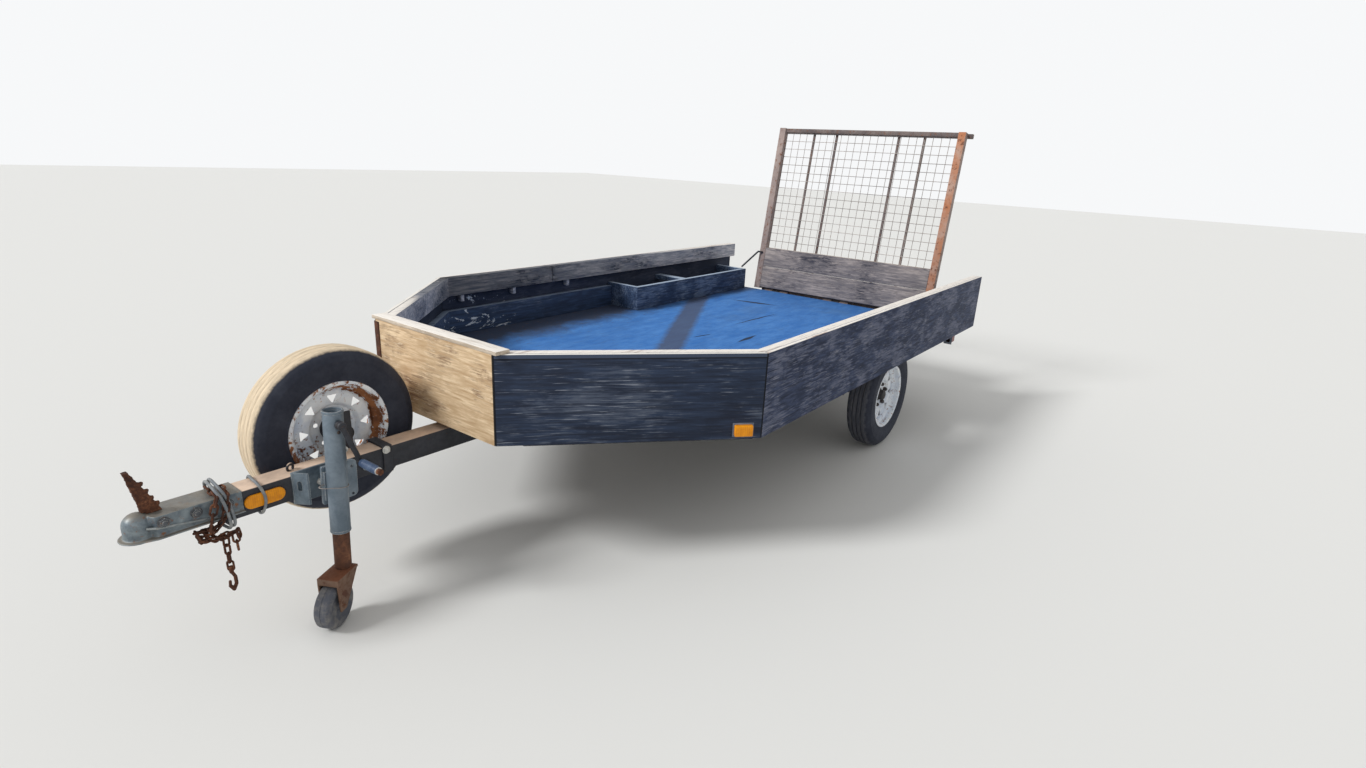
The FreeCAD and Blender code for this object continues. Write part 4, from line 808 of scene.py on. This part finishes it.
for node, material, width in (
        ("frame_rails", blackSteel, 0.004), ("cross_members", blackSteel, 0.003),
        ("nose_rails", blackSteel, 0.003), ("spring_hangers", blackSteel, 0.0012),
        ("axle_clamps", deepRust, 0.0012), ("leaf_springs", springRust, 0.0010),
        ("axle_beam", blackSteel, 0.0015), ("hinge_straps", blackSteel, 0.0010),
        ("spare_carrier", blackSteel, 0.0015), ("drawbar", dustySteel, 0.006)):
    dress(node, material, width, 3 if width > 0.003 else 2)
print("frame ready")

# Wheels: tyre, rim and hub about the Y axis, outer face towards +Y

wheelLook = {"steps": 72, "crown": 267.4, "rib": 267.6, "roadGroove": 5.5, "spareGroove": 1.3,
             "grooves": (22, 0), "grooveHalf": 2.6, "sipe": 0.0022, "sipeDeep": 0.0024,
             "windows": 8, "windowCircle": 0.103, "windowReach": 0.0205, "windowRound": 0.005,
             "studs": 5, "studCircle": 0.05715, "studHole": 0.0075, "stud": 0.0058, "nut": 0.0100,
             "track": 0.770}
# outlines of (radius, along the axle) in millimetres; those of tyre and rim are for one half
tyreSide = [(152.6, 50.2), (157, 51.4), (162, 53.6), (166, 55.4), (169, 56.0), (171.5, 55.2), (180, 58.4),
            (194, 61.8), (208, 64.0), (219, 64.9), (228, 64.4), (229.6, 64.9), (234, 64.2), (236, 63.0),
            (243, 60.4), (249, 57.2), (253, 54.4), (256, 51.2), (258.4, 49.4), (262.4, 45.2), (265.2, 40.8),
            (266.6, 36)]
tyreInner = [(250, 33), (247, 46), (236, 52), (216, 55.5), (190, 52), (168, 46), (152.8, 38.5)]
rimOuter = [(163, 56), (163.6, 54.6), (162.8, 52.8), (158, 52.2), (154, 51.6), (152.2, 49.4), (152, 44),
            (151.4, 31), (147, 27.4), (139, 23.4), (134.4, 20.4), (133.8, 16)]
rimInner = [(130, 16), (130.6, 19.2), (136, 24.6), (145, 29.4), (148, 33), (148.2, 48), (150, 53),
            (155, 55.8)]
rimDisc = [(34, 0.2), (70, 0.2), (74, 0.8), (77, 3), (84, 13.4), (88, 16), (112, 16), (118, 14.6),
           (124, 10.4), (131, 6), (131, 10), (126, 13.8), (119, 18.6), (113, 20), (87, 20), (81.5, 17.6),
           (73.6, 5.4), (70, 4.2), (37, 4.2), (35, 3.6)]
hubOutline = [(15.4, -83), (33, -83), (36, -80), (36, -14), (40, -10.4), (68, -10.4), (70, -8.6), (70, -1.4),
              (69, -0.2), (30, -0.2), (28.4, 1.4), (27, 4), (27, 24), (25.4, 29.4), (20, 32.6), (10, 33.8),
              (0.4, 34), (0.4, 26), (15.4, 25)]


def tyreModel(name, groove, siped):
    crown, half = wheelLook["crown"], wheelLook["grooveHalf"]
    tread = []
    for middle in wheelLook["grooves"]:
        tread += [(crown, middle + half), (crown - groove, middle + half * 0.6)]
        if middle:
            tread += [(crown - groove, middle - half * 0.6), (wheelLook["rib"], middle - half)]
    right = tyreInner[::-1] + tyreSide + tread
    tyre = spun(name, mm(right + mirrored(right)), wheelLook["steps"])
    if siped:
        # sipes across both shoulders, every second step of the tread
        step = 2 * math.pi / wheelLook["steps"]

        def shoulderFace(centre, normal):
            count = math.floor(math.atan2(centre.z, centre.x) / step + 0.01)
            onShoulder = math.hypot(centre.x, centre.z) > 0.2575 and 0.037 < abs(centre.y) < 0.050
            return onShoulder and count % 2 == 0
        onFaces(tyre, shoulderFace, lambda: bpy.ops.mesh.inset(thickness=wheelLook["sipe"], depth=0),
                lambda: bpy.ops.transform.shrink_fatten(value=-wheelLook["sipeDeep"]))
    return bevelled(tyre, 0.0007, 1, 50)


def studPlaces():
    for count in range(wheelLook["studs"]):
        turn = math.radians(90 + 360 * count / wheelLook["studs"])
        yield wheelLook["studCircle"] * math.cos(turn), wheelLook["studCircle"] * math.sin(turn)


def rimModel(name):
    # the inner run goes from the right flange's inner side to the left one's
    barrel = spun(name, mm(rimOuter + mirrored(rimOuter) + mirrored(rimInner) + rimInner))
    disc = spun(name + "_disc", mm(rimDisc))
    tools = []
    for count in range(wheelLook["windows"]):
        turn = 2 * math.pi * count / wheelLook["windows"]
        bpy.ops.mesh.primitive_cylinder_add(vertices=3, radius=wheelLook["windowReach"], depth=0.06)
        tool = modify(bpy.context.object, "BEVEL", width=wheelLook["windowRound"], segments=4,
                      limit_method="ANGLE", angle_limit=1.6)
        # the primitive's first corner is on +Y, and is turned to point at the wheel's middle
        tool.matrix_world = (Matrix.Rotation(-turn, 4, "Y") @ shiftBy(wheelLook["windowCircle"], 0.012, 0)
                             @ turnBy(-90, "X") @ turnBy(90, "Z"))
        tools.append(settled(tool))
    for x, z in studPlaces():
        tools.append(rod("studTool", (x, -0.02, z), (x, 0.03, z), wheelLook["studHole"], 20, 0))
    carved(disc, *tools)
    bevelled(disc, 0.0008, 2, 50)
    return joined(name, [barrel, disc])


def hubModel(name):
    pieces = [spun(name, mm(hubOutline), 48)]
    for x, z in studPlaces():
        nut = rod("nut", (x, 0.0044, z), (x, 0.0200, z), wheelLook["nut"], 6, 0)
        onFaces(nut, lambda centre, normal: normal.y > 0.9,
                lambda: bpy.ops.mesh.inset(thickness=0.0018, depth=0.0008))
        pieces += [nut, rod("stud", (x, -0.001, z), (x, 0.0236, z), wheelLook["stud"], 12, 0.0008)]
    return joined(name, pieces)


roadTyre = tyreModel("roadTyreModel", wheelLook["roadGroove"], True)
spareTread = tyreModel("spareTyreModel", wheelLook["spareGroove"], False)
rimMade = rimModel("rimModel")
hubMade = hubModel("hubModel")
axleCentre = Vector((-0.91987, 0, 0.268))
for side, sign in (("left", 1), ("right", -1)):
    body = f"wheel_{side}"
    centre = axleCentre + Vector((0, sign * wheelLook["track"], 0))
    place = Matrix.Translation(centre) @ Matrix.Rotation(0 if sign > 0 else math.pi, 4, "Z")
    # the road tyres' bluish tread tone is painted skylight shade
    roadRubber = wornTyre(f"roadTyre_{side}", centre, (52, 57, 70), (90, 90, 94))
    finish(another(roadTyre, f"tyre_{side}_shown", place), body, "tyre", roadRubber, f"tyre_{side}")
    roadWhite = chippedWhite(f"whiteRim_{side}", centre, 0.15)
    finish(another(rimMade, f"rim_{side}_shown", place), body, "white_rim", roadWhite, f"rim_{side}")
    finish(another(hubMade, f"hub_{side}_shown", place), body, "hub_steel", hubIron, f"hub_{side}")
sparePlace = Matrix.Translation(spareCentre)
# the spare's pale tan tread tones are dust brightened into a painted sunlit highlight
spareRubber = wornTyre("spareTyre", spareCentre, (232, 212, 182), (190, 174, 150))
finish(moved(spareTread, sparePlace), "chassis", "tyre", spareRubber, "spare_tyre")
spareWhite = chippedWhite("whiteRim_spare", spareCentre, 1.0)
finish(moved(rimMade, sparePlace), "chassis", "white_rim", spareWhite, "spare_rim")
bpy.data.objects.remove(roadTyre)
bpy.data.objects.remove(hubMade)
print("wheels ready")

# Spare carrier: the bolt through its plate and the bright one on its collar

bolts("carrier_bolts", "chassis", "grey_steel", greyZinc, [((1.478, 0.0462, 0.429), (0, 1, 0))], 1.2)
bolts("collar_bolt", "chassis", "grey_steel", brightZinc, [((1.4085, 0.0462, 0.462), (0, 1, 0))], 1.05)

# Coupler, its side ridges and bolts, and the latch

couplerLook = {"voxel": 0.0022, "smooth": 4, "latchVoxel": 0.0012, "latchSmooth": 2,
               "bolts": ((2.024, 0.452), (1.950, 0.450), (1.874, 0.446)),
               "boltScale": 1.2, "boltSunk": 0.0006,
               "ridge": ((2.060, 0.4425), (1.905, 0.419), 0.0034), "ridgeSteps": 8,
               "flakes": 0.0050, "flakeSize": 0.009, "tooth": 0.0065,
               "teeth": ((2.043, 0.555), (2.034, 0.532), (2.026, 0.510), (2.016, 0.492))}


def melted(thing, voxel, smooth, share, flakes=0):
    # rounded like a casting or thick rust, with the share of faces that stays
    modify(thing, "REMESH", mode="VOXEL", voxel_size=voxel)
    if flakes:
        cloud = bpy.data.textures.new("flakes", "CLOUDS")
        cloud.noise_scale = couplerLook["flakeSize"]
        modify(thing, "DISPLACE", texture=cloud, strength=flakes, mid_level=0.55)
    modify(thing, "SMOOTH", iterations=smooth, factor=0.5)
    return modify(thing, "DECIMATE", ratio=share)


couplerShown = melted(copyNode("coupler"), couplerLook["voxel"], couplerLook["smooth"], 0.5)
finish(couplerShown, bodyOf["coupler"], slotOf["coupler"], couplerIron, "coupler", smooth=60)


def onCoupler(x, sign, z):
    # the place and normal where a level line from the side meets the coupler
    return couplerShown.ray_cast((x, sign * 0.2, z), (0, -sign, 0))[1:3]


ridges = []
for sign in (1, -1):
    (x0, z0), (x1, z1), wide = couplerLook["ridge"]
    steps = couplerLook["ridgeSteps"]
    places = [onCoupler(x0 + (x1 - x0) * step / steps, sign, z0 + (z1 - z0) * step / steps)[0]
              for step in range(steps + 1)]
    ridges += [rod("ridge", first, second, wide, 10, 0) for first, second in zip(places, places[1:])]
finish(joined("coupler_ridges", ridges), "chassis", "grey_steel", ridgeZinc, smooth=60)
# rust has left rough teeth along the lever's rear edge
teeth = [rod("tooth", (x + 0.012, -0.005, z - 0.004), (x, 0.004, z), couplerLook["tooth"], 8, 0)
         for x, z in couplerLook["teeth"]]
latch = joined("coupler_latch_shown", [copyNode("coupler_latch"), *teeth])
melted(latch, couplerLook["latchVoxel"], couplerLook["latchSmooth"], 0.5, couplerLook["flakes"])
finish(latch, bodyOf["coupler_latch"], slotOf["coupler_latch"], deepRust, "coupler_latch", smooth=60)
boltPlaces = []
for x, z in couplerLook["bolts"]:
    for sign in (1, -1):
        place, normal = onCoupler(x, sign, z)
        boltPlaces.append((place - normal * couplerLook["boltSunk"], normal))
bolts("coupler_bolts", "chassis", "grey_steel", boltZinc, boltPlaces, couplerLook["boltScale"])
print("coupler ready")

# Safety chain: round links along the path of the plain ones, and the hook

chainLook = {"start": (frontX + 0.698, 0, 0), "pitch": 0.0246, "length": 0.036, "width": 0.022,
             "wire": 0.0062, "side": 0.050, "over": 0.483, "low": 0.411, "under": 0.379, "wander": 9}


def chainPaths():
    # points ahead of the coupler's rear bolt, along the plain links and then three looser strands
    side, over, low, under = (chainLook[k] for k in ("side", "over", "low", "under"))
    main = [(0.004, -0.020, over), (0.004, side - 0.012, over + 0.002), (0.006, side + 0.007, over - 0.005),
            (0.018, side + 0.009, over - 0.030), (0.031, side + 0.018, low + 0.009),
            (0.035, side + 0.011, low - 0.014), (0.024, side - 0.016, under - 0.006),
            (0.006, 0.008, under - 0.008), (0.030, 0.010, under - 0.020), (0.026, 0.024, under - 0.032),
            (0, 0.023, under - 0.038), (-0.016, 0.008, under - 0.032), (-0.014, 0.008, under - 0.052),
            (-0.011, 0.018, under - 0.088), (-0.011, 0.022, under - 0.142)]
    second = [(-0.020, -0.020, over), (-0.022, side - 0.012, over + 0.002),
              (-0.020, side + 0.007, over - 0.005), (-0.012, side + 0.009, over - 0.030),
              (-0.004, side + 0.009, low + 0.005), (0.020, 0.032, under - 0.006),
              (0.058, 0.030, under + 0.012), (0.066, 0.034, under - 0.004), (0.040, 0.038, under - 0.018),
              (0.012, 0.042, under - 0.026), (-0.028, 0.040, under - 0.018), (-0.046, 0.036, under - 0.026),
              (-0.034, 0.040, under - 0.048)]
    third = [(-0.014, -0.022, under - 0.010), (0.012, -0.010, under - 0.014), (0.040, 0.004, under - 0.010),
             (0.056, 0.010, under - 0.026), (0.030, 0.000, under - 0.044), (0.006, -0.006, under - 0.050)]
    hanging = [(-0.030, 0.036, under - 0.030), (-0.033, 0.034, under - 0.088)]
    return main, second, third, hanging


def linkPlaces(path):
    corners = [Vector(point) + Vector(chainLook["start"]) for point in path]
    walk, covered = [], 0.0
    for first, second in zip(corners, corners[1:]):
        run = second - first
        while len(walk) * chainLook["pitch"] <= covered + run.length:
            walk.append(first + run * ((len(walk) * chainLook["pitch"] - covered) / run.length))
        covered += run.length
    return zip(walk, walk[1:])


def makeChain():
    wire = chainLook["wire"] / 2
    bpy.ops.mesh.primitive_torus_add(major_segments=14, minor_segments=8, minor_radius=wire,
                                     major_radius=chainLook["width"] / 2 - wire)
    link = bpy.context.object
    stretch = (chainLook["length"] - chainLook["width"]) / 2
    for vertex in link.data.vertices:
        vertex.co.x += math.copysign(stretch, vertex.co.x) if abs(vertex.co.x) > 1e-6 else 0
    moved(link, turnBy(90, "Y"))
    links = []
    for path in chainPaths():
        for count, (first, second) in enumerate(linkPlaces(path)):
            turn = (second - first).to_track_quat("Z", "Y").to_matrix().to_4x4()
            roll = 45 + 90 * (count % 2) + luck.uniform(-chainLook["wander"], chainLook["wander"])
            place = Matrix.Translation((first + second) / 2) @ turn @ turnBy(roll, "Z")
            links.append(another(link, f"link_{len(links)}", place))
    bpy.data.objects.remove(link)
    finish(joined("safety_chain_shown", links), "chassis", "rusty_steel", deepRust, "safety_chain", smooth=60)


makeChain()
hookLow, hookHigh = (Vector(corner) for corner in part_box("chain_hook"))


def makeHook():
    middle, wide = (hookLow + hookHigh) / 2, (hookHigh.x - hookLow.x) / 2
    top, bottom = hookHigh.z, hookLow.z
    # ahead of the hook's middle, height and radius
    steps = [(0, top - 0.008, 0.0075), (0, top - 0.026, 0.0045), (-wide * 0.62, top - 0.044, 0.0048),
             (-wide * 0.66, bottom + 0.022, 0.0052), (0, bottom + 0.0055, 0.0052),
             (wide * 0.68, bottom + 0.020, 0.0048), (wide * 0.60, bottom + 0.034, 0.0034)]
    pieces = []
    for (x0, z0, r0), (x1, z1, r1) in zip(steps, steps[1:]):
        start, end = (middle.x + x0, middle.y, z0), (middle.x + x1, middle.y, z1)
        pieces.append(rod("hookPart", start, end, (r0 + r1) / 2, 12, 0))
        bpy.ops.mesh.primitive_ico_sphere_add(subdivisions=2, radius=(r0 + r1) / 2, location=end)
        pieces.append(settled(bpy.context.object))
    hook = melted(joined("chain_hook_shown", pieces), 0.0011, 4, 0.4)
    return finish(hook, "chassis", "rusty_steel", deepRust, "chain_hook", smooth=60)


makeHook()

# The trailer lead: two tight turns round the coupler and one round the drawbar, fixed where they lie

leadLook = {
    "radius": 0.0042,
    "couplerTurn": [(1.901, 0.047, 0.494), (1.900, 0.010, 0.5005), (1.897, -0.030, 0.497),
                    (1.890, -0.0575, 0.468), (1.885, -0.0575, 0.420), (1.8815, -0.025, 0.376),
                    (1.8795, 0.020, 0.370), (1.8790, 0.052, 0.382), (1.884, 0.0605, 0.428),
                    (1.893, 0.0600, 0.472)],
    "secondTurn": (-0.0115, -0.003, 0.002),
    "drawbarTurn": [(1.7935, 0.040, 0.4745), (1.789, 0.0, 0.4725), (1.786, -0.041, 0.469),
                    (1.784, -0.0435, 0.430), (1.785, -0.0425, 0.389), (1.789, 0.0, 0.3855),
                    (1.792, 0.041, 0.387), (1.786, 0.0485, 0.404), (1.782, 0.0495, 0.430),
                    (1.787, 0.0475, 0.456)],
}


def leadTurn(name, points):
    bpy.ops.curve.primitive_bezier_circle_add(radius=0.05)
    made = bpy.context.object
    made.name = name
    made.data.dimensions = "3D"
    spline = made.data.splines[0]
    spline.bezier_points.add(len(points) - len(spline.bezier_points))
    for point, place in zip(spline.bezier_points, points):
        point.co = place
        point.radius = 1
        point.handle_left_type = point.handle_right_type = "AUTO"
    spline.resolution_u = 6
    made.data.bevel_depth = leadLook["radius"]
    made.data.bevel_resolution = 3
    only(made)
    bpy.ops.object.convert(target="MESH")
    return made


shift = Vector(leadLook["secondTurn"])
turns = [leadTurn("lead_turn_1", leadLook["couplerTurn"]),
         leadTurn("lead_turn_2", [tuple(Vector(point) + shift) for point in leadLook["couplerTurn"]]),
         leadTurn("lead_turn_3", leadLook["drawbarTurn"])]
for made in turns:
    made.matrix_world = Matrix.Identity(4)
finish(joined("trailer_lead", turns), "chassis", "castor_rubber", greyLead, smooth=60)
print("chain ready")

# Jack: bracket, tube with its open top ring, crank and grip, leg, fork and castor wheel

jackLook = {"radius": 0.0285, "wall": 0.0035, "top": 0.668, "plateBack": 0.027, "plateHoles": (0.468, 0.379),
            "plateHoleBack": 0.060, "plateHole": 0.0048, "plateOuter": 0.0935, "plateHalf": 0.030,
            "backBolt": 0.538, "crankHole": 0.606, "wireHigh": 0.434, "wire": 0.0011, "wireTwist": 0.012}
bracketLook = {"holeHalf": 0.0070, "holeHigh": 0.0160, "holeAt": (1.690, 0.058, 0.437), "earTurn": 34.0,
               "eyeAt": (1.6845, -0.004, 0.4765), "eye": 0.0105, "eyeWire": 0.0038}


def makeBracket():
    made = copyNode("jack_bracket")
    tool = rod("earTool", (-0.03, 0, 0), (0.03, 0, 0), bracketLook["holeHalf"], 24, 0)
    for vertex in tool.data.vertices:
        vertex.co.z += math.copysign(bracketLook["holeHigh"] - bracketLook["holeHalf"], vertex.co.z)
    carved(made, moved(tool, Matrix.Translation(bracketLook["holeAt"]) @ turnBy(bracketLook["earTurn"], "Z")))
    bevelled(made, 0.0014, 2, 40)
    finish(made, "chassis", "grey_steel", greyZinc, "jack_bracket")
    # the bright head of the swivel pin's grease point, and a ring that stands on the drawbar
    bolts("swivel_bolt", "chassis", "grey_steel", brightZinc, [((1.6305, 0.0600, 0.4330), (1, 0.2, 0))], 0.85)
    bpy.ops.mesh.primitive_torus_add(major_segments=28, minor_segments=10, major_radius=bracketLook["eye"],
                                     minor_radius=bracketLook["eyeWire"])
    eye = moved(bpy.context.object, turnBy(20, "Z") @ turnBy(90, "X"))
    pad = block("eyePad", (-0.0085, -0.0055, -0.0145), (0.0085, 0.0055, -0.0085), 0.0010)
    finish(moved(joined("drawbar_eye", [eye, pad]), Matrix.Translation(bracketLook["eyeAt"])),
           "chassis", "grey_steel", dustySteel, smooth=60)


makeBracket()


def makeJackTube():
    made = copyNode("jack_tube")
    # the swivel plate reaches further back than ahead, and has two holes near its rear edge
    upright = jackTurn.inverted()
    outside, half = jackLook["plateOuter"], jackLook["plateHalf"]
    for vertex in made.data.vertices:
        place = upright @ vertex.co
        if place.y < outside and place.x < tubeX - half:
            place.x -= jackLook["plateBack"]
        elif place.y < outside and place.x > tubeX + half:
            place.x = tubeX + 0.029 + (place.x - tubeX - 0.029) * 0.2
        vertex.co = jackTurn @ place
    for z in jackLook["plateHoles"]:
        x = tubeX - jackLook["plateHoleBack"]
        tool = rod("plateTool", (x, 0.070, z), (x, 0.105, z), jackLook["plateHole"], 20, 0)
        carved(made, moved(tool, jackTurn))
    bevelled(made, 0.0012, 2, 45)
    outer, wall, top = jackLook["radius"], jackLook["wall"], jackLook["top"]
    turn = jackTurn @ shiftBy(tubeX, jackY, 0) @ turnBy(90, "X")
    # rolled rings round the tube's two ends
    collar = spun("jack_collar", [
        (outer - wall, top - 0.004), (outer - wall, top - 0.008), (outer + 0.0003, top - 0.008),
        (outer + 0.0009, top - 0.007), (outer + 0.0009, top - 0.001), (outer + 0.0004, top),
        (outer - wall + 0.0006, top)], 40, turn)
    seat = spun("jack_seat", [
        (0.0242, 0.287), (0.0250, 0.2856), (outer + 0.0002, 0.2856), (outer + 0.0008, 0.2866),
        (outer + 0.0008, 0.291), (outer + 0.0002, 0.2922), (0.0252, 0.2922)], 40, turn)
    finish(joined("jack_tube_shown", [made, collar, seat]), "jack", "grey_steel", tubeZinc, "jack_tube")
    # a bolt at the back of the tube, a hole under the crank, and a wire tied round the tube
    behind = jackTurn @ Vector((tubeX - outer + 0.0004, jackY, jackLook["backBolt"]))
    bolts("jack_back_bolt", "jack", "grey_steel", brightZinc, [(behind, (-1, 0, 0))], 0.8)
    rim = jackTurn @ Vector((tubeX, jackY + outer - 0.0006, jackLook["crankHole"]))
    bolts("jack_hole", "jack", "grey_steel", blackSteel, [(rim, (0, 1, 0))], 0.42)
    wire, twist = jackLook["wire"], jackLook["wireTwist"]
    bpy.ops.mesh.primitive_torus_add(major_segments=48, minor_segments=8, major_radius=outer + 0.0012,
                                     minor_radius=wire)
    tie = bpy.context.object
    for vertex in tie.data.vertices:
        if vertex.co.x > twist:
            vertex.co.x += (vertex.co.x - twist) * 1.3
            vertex.co.y *= 0.86
        vertex.co.z += 0.0035 * vertex.co.x / outer
    tie.name = "jack_wire"
    moved(tie, jackTurn @ shiftBy(tubeX, jackY, jackLook["wireHigh"]))
    finish(tie, "jack", "grey_steel", wireSteel, smooth=60)


makeJackTube()

crankLook = {"high": 0.630, "armBack": 0.050, "armEnd": 0.506, "arm": 0.0078, "eye": 0.0125, "shaft": 0.0068,
             "boss": 0.013, "spindle": 0.0062, "washer": 0.0115, "nut": 0.0098, "grip": 0.086,
             "gripFrom": 0.010, "gripRadius": 0.013, "ribs": 7, "ribDeep": 0.0014}


def makeCrank():
    outer = jackY + jackLook["radius"]
    shaftY, length = outer + 0.014, crankLook["grip"]
    x0, z0 = tubeX, crankLook["high"]
    x1, z1 = tubeX - crankLook["armBack"], crankLook["armEnd"]
    arm = rod("crankArm", (x0, shaftY + 0.004, z0), (x1, shaftY + 0.004, z1), crankLook["arm"], 12, 0.001)
    ends = [rod("crankEye", (x, shaftY - 0.001, z), (x, shaftY + 0.009, z), crankLook["eye"], 20, 0.0012)
            for x, z in ((x0, z0), (x1, z1))]
    shaft = rod("crankShaft", (x0, jackY - 0.0325, z0), (x0, shaftY + 0.004, z0), crankLook["shaft"],
                16, 0.0012)
    boss = rod("crankBoss", (x0, outer + 0.0013, z0), (x0, shaftY - 0.0015, z0), crankLook["boss"],
               20, 0.0015)
    spindle = rod("gripSpindle", (x1, shaftY, z1), (x1, shaftY + length + 0.016, z1), crankLook["spindle"],
                  14, 0.0014)
    metal = joined("jack_crank_shown", [arm, *ends, shaft, boss, spindle])
    finish(moved(metal, jackTurn), "jack", "grey_steel", blackSteel, "jack_crank")
    tipY = shaftY + crankLook["gripFrom"] + length
    washer = rod("gripWasher", (x1, tipY, z1), (x1, tipY + 0.002, z1), crankLook["washer"], 24, 0.0006)
    finish(moved(washer, jackTurn), "jack", "grey_steel", brightZinc)
    nut = rod("gripNut", (x1, tipY + 0.0021, z1), (x1, tipY + 0.014, z1), crankLook["nut"], 6, 0.0008)
    finish(moved(nut, jackTurn), "jack", "rusty_steel", deepRust)
    crest, ribs, deep = crankLook["gripRadius"], crankLook["ribs"], crankLook["ribDeep"]
    profile = [(0.0064, 0.0), (0.0105, 0.0), (0.0122, 0.0018)]
    for count in range(ribs):
        start = 0.010 + count * (length - 0.020) / ribs
        run = (length - 0.020) / ribs
        profile += [(crest - deep, start), (crest, start + run * 0.3), (crest, start + run * 0.7),
                    (crest - deep, start + run * 0.96)]
    profile += [(0.0122, length - 0.004), (0.0108, length), (0.0064, length)]
    grip = spun("crank_grip", profile, 28, shiftBy(x1, shaftY + crankLook["gripFrom"], z1))
    finish(moved(grip, jackTurn), "jack", "crank_grip", crankGrip)


makeCrank()
dress("jack_leg", legRust, 0.0010)
dress("castor_fork", forkIron, 0.0012)

# outline of one half in millimetres, and the axle behind and above the castor's pivot foot
castorLook = {"half": [(6.4, -24.5), (12, -24.5), (13, -23), (14, -18), (38, -17), (44, -20), (50, -24.2),
                       (60, -24.8), (66, -22), (69, -19), (70, -16), (70, -1.2), (69, -0.7)],
              "axle": (0.060, 0, 0.070)}
castorWheel = spun("castor_wheel_shown", mm(castorLook["half"] + mirrored(castorLook["half"])), 48)
moved(castorWheel, castorTurn @ shiftBy(*castorLook["axle"]))
finish(castorWheel, "castor_wheel", "castor_rubber", castorRubber, "castor_wheel")
print("jack ready")

# Gate: posts, bars, hinge knuckles, round-wire mesh and the stay

gateLook = {"sill": (-0.0215, -0.016, 0.0015, 0.014), "sillHalf": 0.590, "half": 0.634, "post": 0.044,
            "postRear": -0.0225, "high": 1.122, "boardTop": 0.302, "wire": 0.0036, "pitch": 0.051,
            "upright": -0.0126, "level": -0.0096, "topBar": 0.025, "wander": 0.0006}


def makeGateFrame():
    made = bevelled(copyNode("gate_frame"), 0.0016, 2, 45)
    made.data.materials.clear()
    for material in (rustyBar, rustPost, greyPost):
        made.data.materials.append(material)
    back = gateTurn.inverted()
    for face in made.data.polygons:
        place = back @ face.center
        isPost = abs(place.y) > gateLook["half"] - gateLook["post"] - 0.001 and place.x > gateLook["postRear"]
        if isPost and abs(place.y) < gateLook["half"] + 0.001:
            face.material_index = 1 if place.y > 0 and face.normal.y < 0.5 else 2
    hand(made, "gate", "rust_post", "gate_frame")
    # the strip under the boards, high enough to clear the hinge leaves when the gate is down
    back, front, low, high = gateLook["sill"]
    sill = block("gate_sill", (back, -gateLook["sillHalf"], low), (front, gateLook["sillHalf"], high), 0.001)
    finish(moved(sill, gateTurn), "gate", "rust_post", rustyBar)


def makeMesh():
    low, high = gateLook["boardTop"] + 0.002, gateLook["high"] - gateLook["topBar"] - 0.004
    half = gateLook["half"] - gateLook["post"] - 0.002
    radius = gateLook["wire"] / 2
    columns, rows = round(2 * half / gateLook["pitch"]), round((high - low) / gateLook["pitch"])
    wires = []

    def wire(start, end, pieces):
        made = rod("wire", start, end, radius, 6, 0)
        along = (Vector(end) - Vector(start)).normalized()
        for cut in range(1, pieces):
            at = Vector(start).lerp(Vector(end), cut / pieces)
            inEdit(made, lambda at=at: bpy.ops.mesh.bisect(plane_co=at, plane_no=along))
        places = {}
        for vertex in made.data.vertices:
            key = round((vertex.co - Vector(start)).dot(along) / (Vector(end) - Vector(start)).length, 3)
            if key not in places:
                places[key] = Vector([luck.uniform(-1, 1) * gateLook["wander"] for _ in range(3)])
            vertex.co += places[key] - along * places[key].dot(along)
        wires.append(made)
    for column in range(columns + 1):
        y = -half + 2 * half * column / columns
        wire((gateLook["upright"], y, low), (gateLook["upright"], y, high), 3)
    for row in range(rows + 1):
        z = low + (high - low) * row / rows
        wire((gateLook["level"], -half, z), (gateLook["level"], half, z), 5)
    shown = moved(joined("gate_mesh_shown", wires), gateTurn)
    return finish(shown, "gate", "mesh_wire", wireSteel, "gate_mesh", smooth=60)


makeGateFrame()
makeMesh()
dress("gate_stay", blackSteel, 0.0008, 1, 60)
print("gate ready")

# Lamps and reflectors, with their bases

lampLook = {"rim": 0.0055, "thick": 0.0022}


def dressLens(node, material, width, turnOf, out):
    # each lens gets a dark base plate that reaches past it, between it and the timber or steel
    dress(node, material, width, 4)
    plates = []
    for lens in looseParts(node):
        middle = sum((vertex.co for vertex in lens.data.vertices), Vector()) / len(lens.data.vertices)
        turn = Matrix.Translation(middle) @ turnBy(turnOf(middle), "Z")
        places = [turn.inverted() @ vertex.co for vertex in lens.data.vertices]
        low = Vector([min(place[axis] for place in places) for axis in range(3)])
        high = Vector([max(place[axis] for place in places) for axis in range(3)])
        def reach(place):
            return (turn @ Vector([place if axis == out else 0 for axis in range(3)])).length
        # the plate's far side is the one towards the trailer's middle
        inward = min((low[out], high[out]), key=reach)
        outward = inward + math.copysign(lampLook["thick"], -inward)
        low -= Vector((lampLook["rim"],) * 3)
        high += Vector((lampLook["rim"],) * 3)
        low[out], high[out] = sorted((inward, outward))
        plates.append(moved(block("lampPlate", low, high, 0.0008), turn))
        bpy.data.objects.remove(lens)
    finish(joined(f"{node}_bases", plates), "chassis", slotOf[node], lampBase)


dressLens("marker_lamps", amberLens, 0.004, lambda middle: noseTurn if middle.y > 0 else -noseTurn, 1)
dressLens("tail_lamps", redLens, 0.006, lambda middle: 0, 0)
dress("drawbar_reflectors", amberLens, 0.0025, 3, 50)
print("lamps ready")

bpy.data.objects.remove(boltModel)
makeCamera()
makeStudio()
